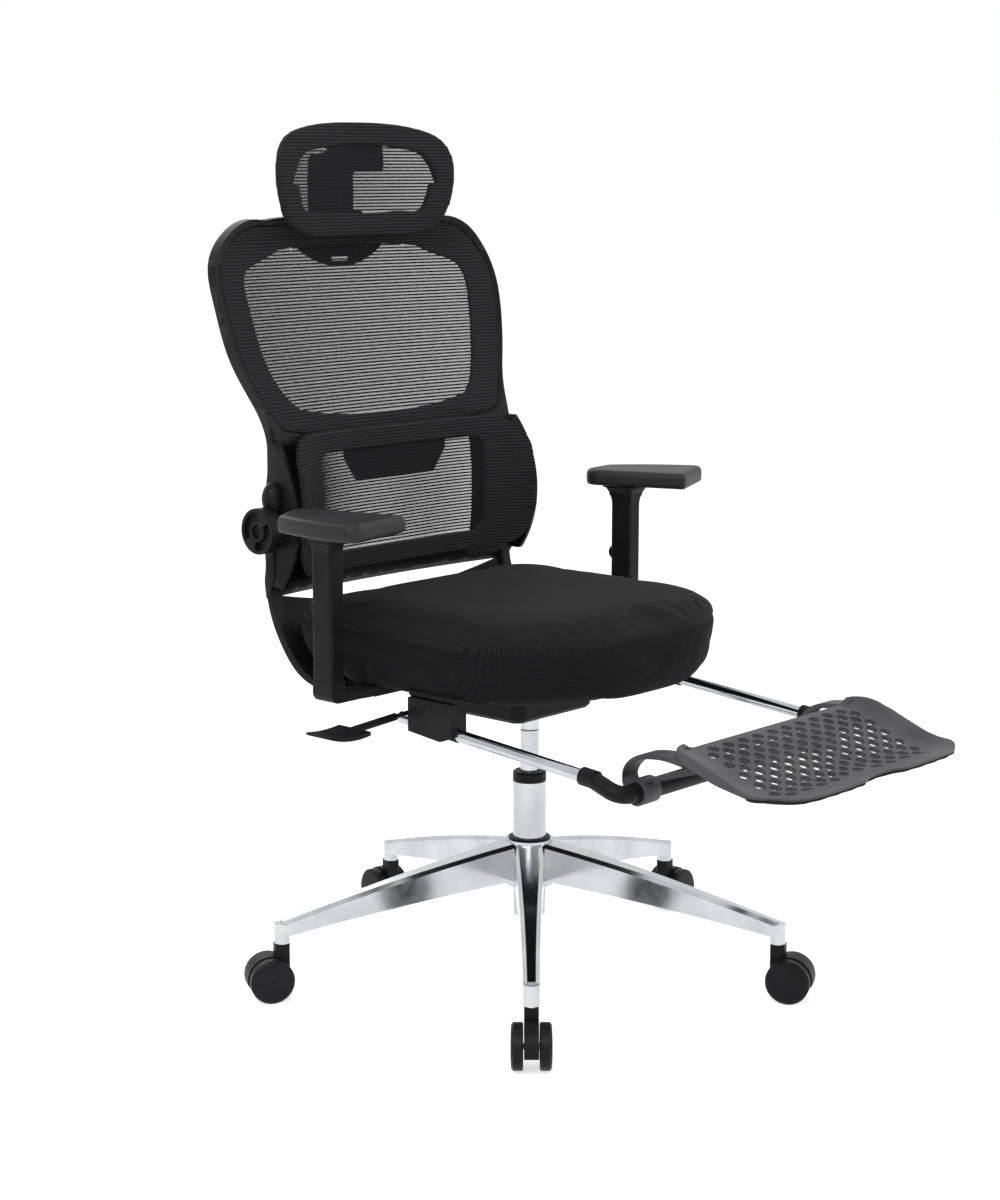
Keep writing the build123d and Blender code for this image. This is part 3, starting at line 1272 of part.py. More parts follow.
tube_run = (FOOT_TUBE_REAR - ELBOW_U) / cos(slope)
with BuildPart() as footrest_tubes:
    for side in (-1, 1):
        with BuildSketch(tube_plane(side, FOOT_TUBE_REAR)):
            Circle(FOOT_TUBE_R)
            Circle(FOOT_TUBE_R - FOOT_TUBE_WALL, mode=Mode.SUBTRACT)
        extrude(amount=tube_run)
save(footrest_tubes, "footrest_tubes")

with BuildPart() as footrest_elbows:
    for side in (-1, 1):
        with BuildSketch(tube_plane(side, ELBOW_U + 18)):
            Circle(ELBOW_R + 0.6)
        extrude(amount=22)
        # the elbow turns in and down to the cross tube
        with BuildLine() as elbow_path:
            FilletPolyline(
                (side * FOOT_TUBE_X, COLUMN_Y + ELBOW_U + 4, tube_height(ELBOW_U + 4)),
                (side * FOOT_TUBE_X, COLUMN_Y + CROSS_U, CROSS_Z),
                (side * CROSS_HALF, COLUMN_Y + CROSS_U, CROSS_Z), radius=ELBOW_BEND_R,
            )
        with BuildSketch(Plane(elbow_path.line @ 0, z_dir=elbow_path.line % 0)):
            Circle(ELBOW_R)
        sweep(path=elbow_path.line)
        with BuildSketch(tube_plane(side, ELBOW_U + 19)):
            Circle(FOOT_TUBE_R)
        extrude(amount=19 / cos(slope), mode=Mode.SUBTRACT)
save(footrest_elbows, "footrest_elbows")

with BuildPart() as footrest_crossbar:
    with BuildSketch(SIDE):
        with Locations((CROSS_U, CROSS_Z)):
            Circle(CROSS_R)
    extrude(amount=CROSS_HALF, both=True)
save(footrest_crossbar, "footrest_crossbar")


def rail_housing(name, side):
    """Block under the seat that a footrest tube slides in."""
    with BuildPart() as rail:
        with BuildSketch(SIDE.offset(side * FOOT_TUBE_X)) as rail_shape:
            Polygon(
                (RAIL_FRONT, PAN_BOTTOM), (RAIL_FRONT, tube_height(RAIL_FRONT) - 2),
                (RAIL_FRONT + 20, tube_height(RAIL_FRONT) - RAIL_COLLAR),
                (RAIL_REAR, tube_height(RAIL_REAR) - RAIL_COLLAR), (RAIL_REAR, PAN_BOTTOM),
                align=None,
            )
            fillet(rail_shape.vertices().group_by(Axis.Y)[0].sort_by(Axis.X)[-1], radius=10)
        extrude(amount=RAIL_WIDTH / 2, both=True)
        with BuildSketch(tube_plane(side, RAIL_FRONT)):
            Circle(RAIL_COLLAR)
        extrude(amount=-24)
        # bearing bore round the tube
        with BuildSketch(tube_plane(side, RAIL_REAR + 20)):
            Circle(FOOT_TUBE_R + SLIDE_CLEARANCE)
        extrude(amount=140, mode=Mode.SUBTRACT)
    save(rail, name)


rail_housing("footrest_rail_right", -1)
rail_housing("footrest_rail_left", 1)

# moulded footrest pad: a wavy perforated sheet that hooks round the cross tube
sheet_line = [
    (-400, 419), (-416, 414), (-450, 403), (-475, 393), (-505, 382), (-527, 378), (-545, 380),
    (FOOTREST_FRONT, 385),
]
with BuildPart() as footrest_pad:
    with BuildSketch(SIDE):
        with BuildLine():
            Spline([(u, z) for u, z in sheet_line])
            Line(sheet_line[-1], (FOOTREST_FRONT, 385 - FOOTREST_SHEET))
            Spline([(u, z - FOOTREST_SHEET) for u, z in reversed(sheet_line)])
            Line((sheet_line[0][0], sheet_line[0][1] - FOOTREST_SHEET), sheet_line[0])
        make_face()
    extrude(amount=FOOTREST_HALF_WIDTH, both=True)
    # rounded front corners and the notch between two lobes
    with BuildSketch(FLOOR.offset(300)):
        with BuildLine():
            Polyline((0, -395), (FOOTREST_HALF_WIDTH, -395), (FOOTREST_HALF_WIDTH, -535))
            Spline(
                (FOOTREST_HALF_WIDTH, -535), (FOOTREST_HALF_WIDTH - 22, -566), (110, -575.5), (46, -574),
                (24, -566), (0, -563), tangents=[(0, -1), (-1, 0)],
            )
            mirror(about=Plane.YZ)
        make_face()
    extrude(amount=200, mode=Mode.INTERSECT)
    # raised lips along both sides, which follow the waves of the sheet
    lip_line = [(-403, 418)] + sheet_line[1:-2] + [(-543, 379.5)]
    for side in (-1, 1):
        with BuildSketch(SIDE.offset(side * (FOOTREST_HALF_WIDTH - 1))):
            with BuildLine():
                Spline([(u, z + FOOTREST_LIP) for u, z in lip_line])
                Line((-543, 379.5 + FOOTREST_LIP), (-543, 377))
                Spline([(u, z - 2.5) for u, z in reversed(lip_line)])
                Line((-403, 415.5), (-403, 418 + FOOTREST_LIP))
            make_face()
        extrude(amount=-side * FOOTREST_LIP_WIDTH)
    # staggered openings, longest in the middle of the sheet
    pitch = 2 * (FOOTREST_HALF_WIDTH - HOOK_WIDTH - 7) / (FOOTREST_COLUMNS - 1)
    with BuildSketch(FLOOR.offset(300)):
        for column in range(FOOTREST_COLUMNS):
            x = (column - (FOOTREST_COLUMNS - 1) / 2) * pitch
            shift = HOLE_PITCH / 2 if column % 2 else 0
            for row in range(FOOTREST_ROWS - column % 2):
                with Locations((x, HOLE_FIRST_U - shift - row * HOLE_PITCH)):
                    Polygon(
                        (0, HOLE_LENGTH / 2), (HOLE_WIDTH / 2, 3), (HOLE_WIDTH / 2, -3),
                        (0, -HOLE_LENGTH / 2), (-HOLE_WIDTH / 2, -3), (-HOLE_WIDTH / 2, 3),
                    )
    extrude(amount=200, mode=Mode.SUBTRACT)
    # hooks at both ends: a collar round the cross tube, a strut and a high rear bow
    for side in (-1, 1):
        inner_edge = side * (FOOTREST_HALF_WIDTH - HOOK_WIDTH - 1.5)
        with BuildSketch(SIDE.offset(inner_edge)):
            with BuildLine():
                Spline(
                    (CROSS_U + 14.8, CROSS_Z + 2), (-320, 382), (-327, 399), (-352, 412.5), (-385, 416),
                    (-410, 414.2),
                )
                Line((-410, 414.2), (-412, 413.2))
                Spline(
                    (-412, 413.2), (-390, 411), (-357, 406), (-333.5, 394.5), (-326.5, 382),
                    (CROSS_U + 11, CROSS_Z + 10),
                )
                Line((CROSS_U + 11, CROSS_Z + 10), (CROSS_U + 14.8, CROSS_Z + 2))
            make_face()
            Polygon(
                (CROSS_U - 6, CROSS_Z + 13.5), (CROSS_U - 13, CROSS_Z + 7), (-446, 400), (-424, 408.5),
                align=None,
            )
            with Locations((CROSS_U, CROSS_Z)):
                Circle(CROSS_R + HOOK_GAP + HOOK_WALL)
                Circle(CROSS_R + HOOK_GAP, mode=Mode.SUBTRACT)
        extrude(amount=side * HOOK_WIDTH)
save(footrest_pad, "footrest_pad")
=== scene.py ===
import math

import bmesh
import bpy
from mathutils import Matrix, Vector
from mathutils.bvhtree import BVHTree


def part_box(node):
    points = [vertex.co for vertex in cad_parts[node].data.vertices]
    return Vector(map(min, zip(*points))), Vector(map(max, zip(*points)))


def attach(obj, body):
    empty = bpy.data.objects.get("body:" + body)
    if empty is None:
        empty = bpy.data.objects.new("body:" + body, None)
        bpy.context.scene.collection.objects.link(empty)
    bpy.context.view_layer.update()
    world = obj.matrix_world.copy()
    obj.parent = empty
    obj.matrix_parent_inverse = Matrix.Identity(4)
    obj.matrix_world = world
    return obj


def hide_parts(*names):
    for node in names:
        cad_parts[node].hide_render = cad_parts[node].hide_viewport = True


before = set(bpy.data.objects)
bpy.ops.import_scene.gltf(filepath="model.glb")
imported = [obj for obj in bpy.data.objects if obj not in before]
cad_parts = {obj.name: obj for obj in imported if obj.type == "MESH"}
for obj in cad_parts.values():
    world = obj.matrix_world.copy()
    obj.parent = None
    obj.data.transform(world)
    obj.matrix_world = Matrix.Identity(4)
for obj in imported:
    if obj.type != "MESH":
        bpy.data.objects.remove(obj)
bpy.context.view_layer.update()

scene = bpy.context.scene
scene.view_settings.view_transform = "Standard"

# ---------------------------------------------------------------------------
# The studio: a plain pale floor that keeps the chair's shadow, a white world
# behind it, two large soft lamps, and a camera at the photograph's place.
camera_data = bpy.data.cameras.new("camera")
camera_data.sensor_width = 36.0
camera_data.lens = 71.394
camera = bpy.data.objects.new("camera", camera_data)
scene.collection.objects.link(camera)
camera.location = (-2.3704, -2.0091, 1.1040)
camera_aim = Vector((0.72713, 0.66257, -0.17968))
camera.rotation_euler = camera_aim.to_track_quat("-Z", "Y").to_euler()
scene.camera = camera

world = bpy.data.worlds.new("studio_white")
scene.world = world
world.use_nodes = True
world_nodes, world_links = world.node_tree.nodes, world.node_tree.links
world_nodes.clear()
world_out = world_nodes.new("ShaderNodeOutputWorld")
world_light = world_nodes.new("ShaderNodeBackground")
world_light.inputs["Color"].default_value = (1, 1, 1, 1)
world_light.inputs["Strength"].default_value = 0.55
world_seen = world_nodes.new("ShaderNodeBackground")
world_seen.inputs["Color"].default_value = (1, 1, 1, 1)
world_seen.inputs["Strength"].default_value = 1.0
world_path = world_nodes.new("ShaderNodeLightPath")
seen_or_glossy = world_nodes.new("ShaderNodeMath")
seen_or_glossy.operation = "MAXIMUM"
seen_or_passed = world_nodes.new("ShaderNodeMath")
seen_or_passed.operation = "MAXIMUM"
world_mix = world_nodes.new("ShaderNodeMixShader")
world_links.new(world_path.outputs["Is Camera Ray"], seen_or_glossy.inputs[0])
world_links.new(world_path.outputs["Is Glossy Ray"], seen_or_glossy.inputs[1])
world_links.new(seen_or_glossy.outputs[0], seen_or_passed.inputs[0])
world_links.new(world_path.outputs["Is Transmission Ray"], seen_or_passed.inputs[1])
world_links.new(seen_or_passed.outputs[0], world_mix.inputs["Fac"])
world_links.new(world_light.outputs[0], world_mix.inputs[1])
world_links.new(world_seen.outputs[0], world_mix.inputs[2])
world_links.new(world_mix.outputs[0], world_out.inputs["Surface"])

for lamp_name, lamp_place, lamp_side, lamp_watts in (
    ("key_softbox", (-2.6, -1.2, 2.7), 2.2, 62.0),
    ("fill_softbox", (2.4, -2.6, 2.2), 2.6, 34.0),
    ("rear_softbox", (0.6, 2.9, 2.6), 2.4, 30.0),
):
    lamp_data = bpy.data.lights.new(lamp_name, "AREA")
    lamp_data.shape = "SQUARE"
    lamp_data.size = lamp_side
    lamp_data.energy = lamp_watts
    lamp = bpy.data.objects.new(lamp_name, lamp_data)
    scene.collection.objects.link(lamp)
    lamp.location = lamp_place
    lamp_aim = Vector((0, 0, 0.6)) - Vector(lamp_place)
    lamp.rotation_euler = lamp_aim.to_track_quat("-Z", "Y").to_euler()

floor_form = bmesh.new()
bmesh.ops.create_grid(floor_form, x_segments=2, y_segments=2, size=30.0)
bmesh.ops.translate(floor_form, verts=floor_form.verts, vec=(0, 0, -0.0004))
floor_mesh = bpy.data.meshes.new("studio_floor")
floor_form.to_mesh(floor_mesh)
floor_form.free()
floor = bpy.data.objects.new("studio_floor", floor_mesh)
scene.collection.objects.link(floor)
floor_paint = bpy.data.materials.new("studio_floor_paint")
floor_paint.use_nodes = True
floor_nodes, floor_links = floor_paint.node_tree.nodes, floor_paint.node_tree.links
floor_nodes.clear()
floor_out = floor_nodes.new("ShaderNodeOutputMaterial")
floor_matt = floor_nodes.new("ShaderNodeBsdfDiffuse")
floor_matt.inputs["Color"].default_value = (0.86, 0.86, 0.86, 1)
floor_glow = floor_nodes.new("ShaderNodeEmission")
floor_glow.inputs["Color"].default_value = (1, 1, 1, 1)
floor_glow.inputs["Strength"].default_value = 0.62
floor_dark = floor_nodes.new("ShaderNodeEmission")
floor_dark.inputs["Strength"].default_value = 0.0
floor_path = floor_nodes.new("ShaderNodeLightPath")
floor_seen = floor_nodes.new("ShaderNodeMath")
floor_seen.operation = "MAXIMUM"
floor_switch = floor_nodes.new("ShaderNodeMixShader")
floor_add = floor_nodes.new("ShaderNodeAddShader")
floor_links.new(floor_path.outputs["Is Camera Ray"], floor_seen.inputs[0])
floor_links.new(floor_path.outputs["Is Glossy Ray"], floor_seen.inputs[1])
floor_links.new(floor_seen.outputs[0], floor_switch.inputs["Fac"])
floor_links.new(floor_dark.outputs[0], floor_switch.inputs[1])
floor_links.new(floor_glow.outputs[0], floor_switch.inputs[2])
floor_links.new(floor_matt.outputs[0], floor_add.inputs[0])
floor_links.new(floor_switch.outputs[0], floor_add.inputs[1])
floor_links.new(floor_add.outputs[0], floor_out.inputs["Surface"])
floor.data.materials.append(floor_paint)


# ---------------------------------------------------------------------------
# Star base: one casting of aluminium alloy, polished bright. Its faces keep
# soft ripples from the polishing wheel. The hub ring is pressed into it.
def new_finish(name, color, roughness, metallic=0.0):
    """A material with its shader's plain values, and its nodes to build on."""
    finish = bpy.data.materials.new(name)
    finish.use_nodes = True
    shader = finish.node_tree.nodes["Principled BSDF"]
    shader.inputs["Base Color"].default_value = (*color, 1)
    shader.inputs["Roughness"].default_value = roughness
    shader.inputs["Metallic"].default_value = metallic
    return finish, shader


def place_on_object(finish, stretch=(1, 1, 1)):
    """Object coordinates, stretched, for a pattern that stays on the piece."""
    nodes, links = finish.node_tree.nodes, finish.node_tree.links
    place = nodes.new("ShaderNodeTexCoord")
    turn = nodes.new("ShaderNodeMapping")
    turn.inputs["Scale"].default_value = stretch
    links.new(place.outputs["Object"], turn.inputs["Vector"])
    return turn.outputs["Vector"]


def cloud(finish, vector, size, detail=3.0):
    """Noise whose patches are about size metres across."""
    noise = finish.node_tree.nodes.new("ShaderNodeTexNoise")
    noise.inputs["Scale"].default_value = 1.0 / size
    noise.inputs["Detail"].default_value = detail
    finish.node_tree.links.new(vector, noise.inputs["Vector"])
    return noise.outputs["Fac"]


def ramp(finish, value, low, high, start=0.35, end=0.65):
    """Turns a value into a colour between low and high."""
    band = finish.node_tree.nodes.new("ShaderNodeValToRGB")
    band.color_ramp.elements[0].position = start
    band.color_ramp.elements[0].color = (*low, 1)
    band.color_ramp.elements[1].position = end
    band.color_ramp.elements[1].color = (*high, 1)
    finish.node_tree.links.new(value, band.inputs["Fac"])
    return band.outputs["Color"]


def spread(finish, value, low, high):
    """Turns a value from 0 to 1 into one from low to high."""
    scale = finish.node_tree.nodes.new("ShaderNodeMapRange")
    scale.inputs["To Min"].default_value = low
    scale.inputs["To Max"].default_value = high
    finish.node_tree.links.new(value, scale.inputs["Value"])
    return scale.outputs["Result"]


def relief(finish, shader, value, strength, depth):
    """Bump of that depth in metres."""
    bump = finish.node_tree.nodes.new("ShaderNodeBump")
    bump.inputs["Strength"].default_value = strength
    bump.inputs["Distance"].default_value = depth
    finish.node_tree.links.new(value, bump.inputs["Height"])
    finish.node_tree.links.new(bump.outputs["Normal"], shader.inputs["Normal"])


def bright_metal(name, low, high, gloss, sweep, ripple):
    """Polished or plated metal: colour clouds, wiped gloss, faint ripples."""
    finish, shader = new_finish(name, high, gloss[0], metallic=1.0)
    links = finish.node_tree.links
    across = place_on_object(finish, sweep)
    links.new(ramp(finish, cloud(finish, across, 0.05), low, high), shader.inputs["Base Color"])
    links.new(spread(finish, cloud(finish, across, 0.012, 5.0), *gloss), shader.inputs["Roughness"])
    relief(finish, shader, cloud(finish, place_on_object(finish), 0.02, 2.0), 0.25, ripple)
    return finish


def dress(finish, slot_name, *names):
    """Gives CAD nodes their finish. slot_name is not used."""
    for name in names:
        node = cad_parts[name]
        node.data.materials.clear()
        node.data.materials.append(finish)


polished_alloy = bright_metal(
    "polished_alloy", (0.46, 0.47, 0.49), (0.55, 0.56, 0.58), (0.10, 0.18), (1, 1, 1), 0.0001
)
dress(polished_alloy, "polished_alloy", "base_star")


# ---------------------------------------------------------------------------
# Lift column: a plated tube in the hub, the chromed piston of the gas spring
# in its black guide bush, and the small steel parts at the tube's foot.
def moulded_plastic(name, low, high, gloss, grain=0.0009, grain_depth=0.00012, shine=0.12):
    """Moulded plastic with a fine etched grain and faint handling marks."""
    finish, shader = new_finish(name, high, gloss[0])
    shader.inputs["Specular IOR Level"].default_value = shine
    links = finish.node_tree.links
    here = place_on_object(finish)
    links.new(ramp(finish, cloud(finish, here, 0.06), low, high), shader.inputs["Base Color"])
    links.new(spread(finish, cloud(finish, here, 0.03, 6.0), *gloss), shader.inputs["Roughness"])
    pits = finish.node_tree.nodes.new("ShaderNodeTexVoronoi")
    pits.inputs["Scale"].default_value = 1.0 / grain
    links.new(here, pits.inputs["Vector"])
    relief(finish, shader, pits.outputs["Distance"], 0.35, grain_depth)
    return finish


black_nylon = moulded_plastic(
    "black_nylon", (0.005, 0.005, 0.006), (0.010, 0.010, 0.011), (0.36, 0.52)
)
plated_tube = bright_metal(
    "plated_tube", (0.40, 0.41, 0.43), (0.50, 0.51, 0.53), (0.12, 0.2), (1, 1, 0.5), 0.00006
)
chrome = bright_metal(
    "chrome", (0.42, 0.43, 0.45), (0.52, 0.53, 0.55), (0.05, 0.12), (1, 1, 4), 0.00004
)
zinc_steel = bright_metal(
    "zinc_steel", (0.32, 0.32, 0.33), (0.52, 0.52, 0.54), (0.28, 0.45), (6, 6, 1), 0.0002
)
ground_steel = bright_metal(
    "ground_steel", (0.45, 0.45, 0.47), (0.62, 0.62, 0.64), (0.2, 0.34), (1, 1, 9), 0.0001
)
dress(black_nylon, "chair_plastic", "hub_ring", "lift_guide_bush")
dress(plated_tube, "chromed_steel", "lift_tube")
dress(chrome, "chromed_steel", "lift_cylinder")
dress(zinc_steel, "bare_steel", "lift_pin", "lift_rod")
dress(ground_steel, "bearing_steel", "lift_bearing_set")

# ---------------------------------------------------------------------------
# Castors: twin wheels of hard black nylon with a slightly greyer tread, on a
# steel axle, under a hooded fork. Five turn on steel stems in the arms.
wheel_nylon = moulded_plastic(
    "wheel_nylon", (0.008, 0.008, 0.009), (0.014, 0.014, 0.016), (0.32, 0.5), 0.0014, 0.0001
)
dress(zinc_steel, "bare_steel", "caster_stems")
for number in range(1, 6):
    dress(black_nylon, "chair_plastic", f"caster_{number}_fork")
    dress(zinc_steel, "bare_steel", f"caster_{number}_axle")
    dress(wheel_nylon, "caster_tread", f"caster_{number}_wheels")

# ---------------------------------------------------------------------------
# Tilt housing and seat pan: the housing and the recline bracket are pressed
# steel, powder coated black. The pan is a black moulded shell with bolts.
powder_coat = moulded_plastic(
    "powder_coat", (0.008, 0.008, 0.009), (0.013, 0.013, 0.014), (0.42, 0.6), 0.0016, 0.0002
)
shell_plastic = moulded_plastic(
    "shell_plastic", (0.006, 0.006, 0.006), (0.010, 0.010, 0.010), (0.5, 0.68)
)
bush_rubber = moulded_plastic(
    "bush_rubber", (0.006, 0.006, 0.006), (0.010, 0.010, 0.010), (0.6, 0.8)
)
dress(powder_coat, "painted_steel", "tilt_housing", "recline_bracket")
dress(shell_plastic, "shell_board", "seat_pan")
dress(zinc_steel, "bare_steel", "seat_bolts", "recline_shaft")
dress(bush_rubber, "soft_rubber", "recline_spring")


# ---------------------------------------------------------------------------
# Seat cushion: moulded foam under black knitted cloth. A ribbed top panel is
# sewn to a side band, and the band's lower edge hangs over the pan's rim.
def copy_of_node(name, new_name):
    """A merged copy of a CAD node's mesh, as a new object."""
    form = bmesh.new()
    form.from_mesh(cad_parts[name].data)
    bmesh.ops.remove_doubles(form, verts=form.verts, dist=0.00002)
    bmesh.ops.recalc_face_normals(form, faces=form.faces)
    mesh = bpy.data.meshes.new(new_name)
    form.to_mesh(mesh)
    form.free()
    piece = bpy.data.objects.new(new_name, mesh)
    scene.collection.objects.link(piece)
    return piece


def apply_modifiers(piece):
    """Makes what the modifiers show the piece's own mesh."""
    bpy.context.view_layer.update()
    shown = piece.evaluated_get(bpy.context.evaluated_depsgraph_get())
    mesh = bpy.data.meshes.new_from_object(shown)
    piece.modifiers.clear()
    piece.data = mesh


def remesh(piece, voxel):
    """Even skin of small quads over the piece."""
    step = piece.modifiers.new("even_skin", "REMESH")
    step.mode = "VOXEL"
    step.voxel_size = voxel
    apply_modifiers(piece)


def relax(piece, factor, rounds):
    """Rounds the piece's edges by smoothing."""
    form = bmesh.new()
    form.from_mesh(piece.data)
    for _ in range(rounds):
        bmesh.ops.smooth_vert(
            form, verts=form.verts, factor=factor, use_axis_x=True, use_axis_y=True, use_axis_z=True
        )
    form.to_mesh(piece.data)
    form.free()


def knitted_cloth(name, low, high, rib, rib_axis, rib_depth, thread=0.0011):
    """Black cloth: ribs along one axis, crossed by fine threads, with a sheen."""
    finish, shader = new_finish(name, high, 0.86)
    nodes, links = finish.node_tree.nodes, finish.node_tree.links
    shader.inputs["Sheen Weight"].default_value = 0.03
    shader.inputs["Sheen Roughness"].default_value = 0.5
    shader.inputs["Specular IOR Level"].default_value = 0.06
    here = place_on_object(finish)
    ribs = nodes.new("ShaderNodeTexWave")
    ribs.bands_direction = rib_axis
    ribs.inputs["Scale"].default_value = 2 * math.pi / (20 * rib)
    ribs.inputs["Distortion"].default_value = 0.35
    ribs.inputs["Detail"].default_value = 1.0
    ribs.inputs["Detail Scale"].default_value = 1.0 / rib / 3
    links.new(here, ribs.inputs["Vector"])
    threads = nodes.new("ShaderNodeTexWave")
    threads.bands_direction = "X" if rib_axis == "Z" else "Y"
    threads.inputs["Scale"].default_value = 2 * math.pi / (20 * thread)
    links.new(here, threads.inputs["Vector"])
    weave = nodes.new("ShaderNodeMath")
    weave.operation = "MULTIPLY_ADD"
    weave.inputs[1].default_value = 0.35
    links.new(threads.outputs["Fac"], weave.inputs[0])
    links.new(ribs.outputs["Fac"], weave.inputs[2])
    patches = cloud(finish, here, 0.05, 4.0)
    mixed = nodes.new("ShaderNodeMath")
    mixed.operation = "MULTIPLY_ADD"
    mixed.inputs[1].default_value = 0.3
    links.new(patches, mixed.inputs[0])
    links.new(weave.outputs[0], mixed.inputs[2])
    links.new(ramp(finish, mixed.outputs[0], low, high, 0.2, 1.3), shader.inputs["Base Color"])
    links.new(spread(finish, patches, 0.78, 0.94), shader.inputs["Roughness"])
    relief(finish, shader, weave.outputs[0], 0.5, rib_depth)
    return finish


def soft_step(value, low, high):
    """Rises smoothly from 0 at low to 1 at high."""
    t = min(max((value - low) / (high - low), 0.0), 1.0)
    return t * t * (3 - 2 * t)


def draw_in(piece, amount):
    """Moves every point inwards along its normal."""
    form = bmesh.new()
    form.from_mesh(piece.data)
    form.normal_update()
    for vert in form.verts:
        vert.co -= vert.normal * amount
    form.to_mesh(piece.data)
    form.free()


SWELL_FRAMES = 20


def swell(piece, pressure, most, held):
    """Blows the cover up like filled cloth; held points stay, others move at most so far."""
    before = [vert.co.copy() for vert in piece.data.vertices]
    group = piece.vertex_groups.new(name="held")
    group.add([i for i, place in enumerate(before) if held(place)], 1.0, "REPLACE")
    cloth = piece.modifiers.new("filled", "CLOTH")
    cloth.settings.effector_weights.gravity = 0.0
    cloth.settings.use_pressure = True
    cloth.settings.uniform_pressure_force = pressure
    cloth.settings.tension_stiffness = 15
    cloth.settings.compression_stiffness = 15
    cloth.settings.bending_stiffness = 0.5
    cloth.settings.vertex_group_mass = "held"
    cloth.settings.quality = 5
    cloth.collision_settings.use_collision = False
    cloth.point_cache.frame_start = 1
    cloth.point_cache.frame_end = SWELL_FRAMES
    for step in range(1, SWELL_FRAMES + 1):
        scene.frame_set(step)
    apply_modifiers(piece)
    scene.frame_set(1)
    for vert, place in zip(piece.data.vertices, before):
        move = vert.co - place
        if move.length > most:
            vert.co = place + move.normalized() * most


COVER_VOXEL = 0.006
COVER_SHRINK = 0.003
CUSHION_PRESSURE = 4.0
CUSHION_SWELL = 0.010
HELD_RIM = 0.018
SEAM_HEIGHT = 0.5005
SEAM_RISE, SEAM_RISE_FROM = 0.006, 0.4
SEAM_DEPTH, SEAM_HALF_WIDTH, SEAM_REACH = 0.0028, 0.0032, 0.02
SIDE_FACING = 0.3
LIP_DROP = 0.012
LIP_SIDE, LIP_NOSE, LIP_REAR = 0.205, 0.04, 0.25
LIP_BOTTOM, LIP_TOP = 0.006, 0.05
LIP_FADE, LIP_REAR_FADE = 0.02, 0.05
SEAT_RIB, SEAT_THREAD = 0.0034, 0.0042

cushion = copy_of_node("seat_cushion", "seat_cushion_cover")
cushion_low, cushion_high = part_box("seat_cushion")


def seam_height(place):
    """The seam rises a little towards the rear of the seat."""
    rearward = (place.y - cushion_low.y) / (cushion_high.y - cushion_low.y)
    return SEAM_HEIGHT + SEAM_RISE * max(0.0, rearward - SEAM_RISE_FROM)


def press_seam(piece):
    """Sews the seam in: a narrow valley round the side of the cover."""
    form = bmesh.new()
    form.from_mesh(piece.data)
    form.normal_update()
    for vert in form.verts:
        off = vert.co.z - seam_height(vert.co)
        flat = Vector((vert.normal.x, vert.normal.y, 0))
        if abs(off) < SEAM_REACH and flat.length > SIDE_FACING:
            flat.normalize()
            vert.co -= flat * SEAM_DEPTH * math.exp(-((off / SEAM_HALF_WIDTH) ** 2))
    form.to_mesh(piece.data)
    form.free()


def lower_lip(piece):
    """The cover's lower edge hangs past the pan's rim before it folds in under it."""
    for vert in piece.data.vertices:
        beyond_pan = max(abs(vert.co.x) - LIP_SIDE, cushion_low.y + LIP_NOSE - vert.co.y)
        outside = soft_step(beyond_pan, 0.0, LIP_FADE)
        low = 1 - soft_step(vert.co.z, cushion_low.z + LIP_BOTTOM, cushion_low.z + LIP_TOP)
        rear = soft_step(vert.co.y, LIP_REAR - LIP_REAR_FADE, LIP_REAR)
        vert.co.z -= LIP_DROP * outside * low * (1 - rear)


remesh(cushion, COVER_VOXEL)
relax(cushion, 0.5, 4)
draw_in(cushion, COVER_SHRINK)
held_below = cushion_low.z + HELD_RIM
swell(cushion, CUSHION_PRESSURE, CUSHION_SWELL, lambda place: place.z < held_below)
relax(cushion, 0.4, 2)
finer = cushion.modifiers.new("finer", "SUBSURF")
finer.levels = finer.render_levels = 1
apply_modifiers(cushion)
press_seam(cushion)
lower_lip(cushion)
cushion.data.shade_smooth()
seat_knit = knitted_cloth(
    "seat_knit", (0.007, 0.007, 0.008), (0.017, 0.017, 0.018), SEAT_RIB, "X", 0.0004, SEAT_THREAD
)
band_knit = knitted_cloth(
    "band_knit", (0.005, 0.005, 0.006), (0.012, 0.012, 0.013), SEAT_RIB, "Z", 0.0003, SEAT_THREAD
)
cushion.data.materials.append(seat_knit)
cushion.data.materials.append(band_knit)
for face in cushion.data.polygons:
    face.material_index = 0 if face.center.z > seam_height(face.center) else 1
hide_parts("seat_cushion")
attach(cushion, "seat")

# ---------------------------------------------------------------------------
# Back frame: moulded black nylon with J-shaped arms that hook under the seat.
# Its crossbar runs smoothly into them. The headrest's socket is screwed on top.
BAR_END_LOW, BAR_END_HIGH, BAR_END_REAR = 0.500, 0.560, 0.3600
BAR_END_FROM, BAR_END_TO = 0.180, 0.225

back_moulding = copy_of_node("back_frame", "back_frame_moulding")
for vert in back_moulding.data.vertices:
    if BAR_END_LOW < vert.co.z < BAR_END_HIGH and vert.co.y > BAR_END_REAR:
        drawn_in = soft_step(abs(vert.co.x), BAR_END_FROM, BAR_END_TO)
        vert.co.y -= (vert.co.y - BAR_END_REAR) * drawn_in
back_moulding.data.shade_smooth()
back_moulding.data.set_sharp_from_angle(angle=math.radians(40))
even_light = back_moulding.modifiers.new("even_light", "WEIGHTED_NORMAL")
even_light.keep_sharp = True
apply_modifiers(back_moulding)
back_moulding.data.materials.append(black_nylon)
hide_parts("back_frame")
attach(back_moulding, "back")
dress(black_nylon, "chair_plastic", "headrest_socket")

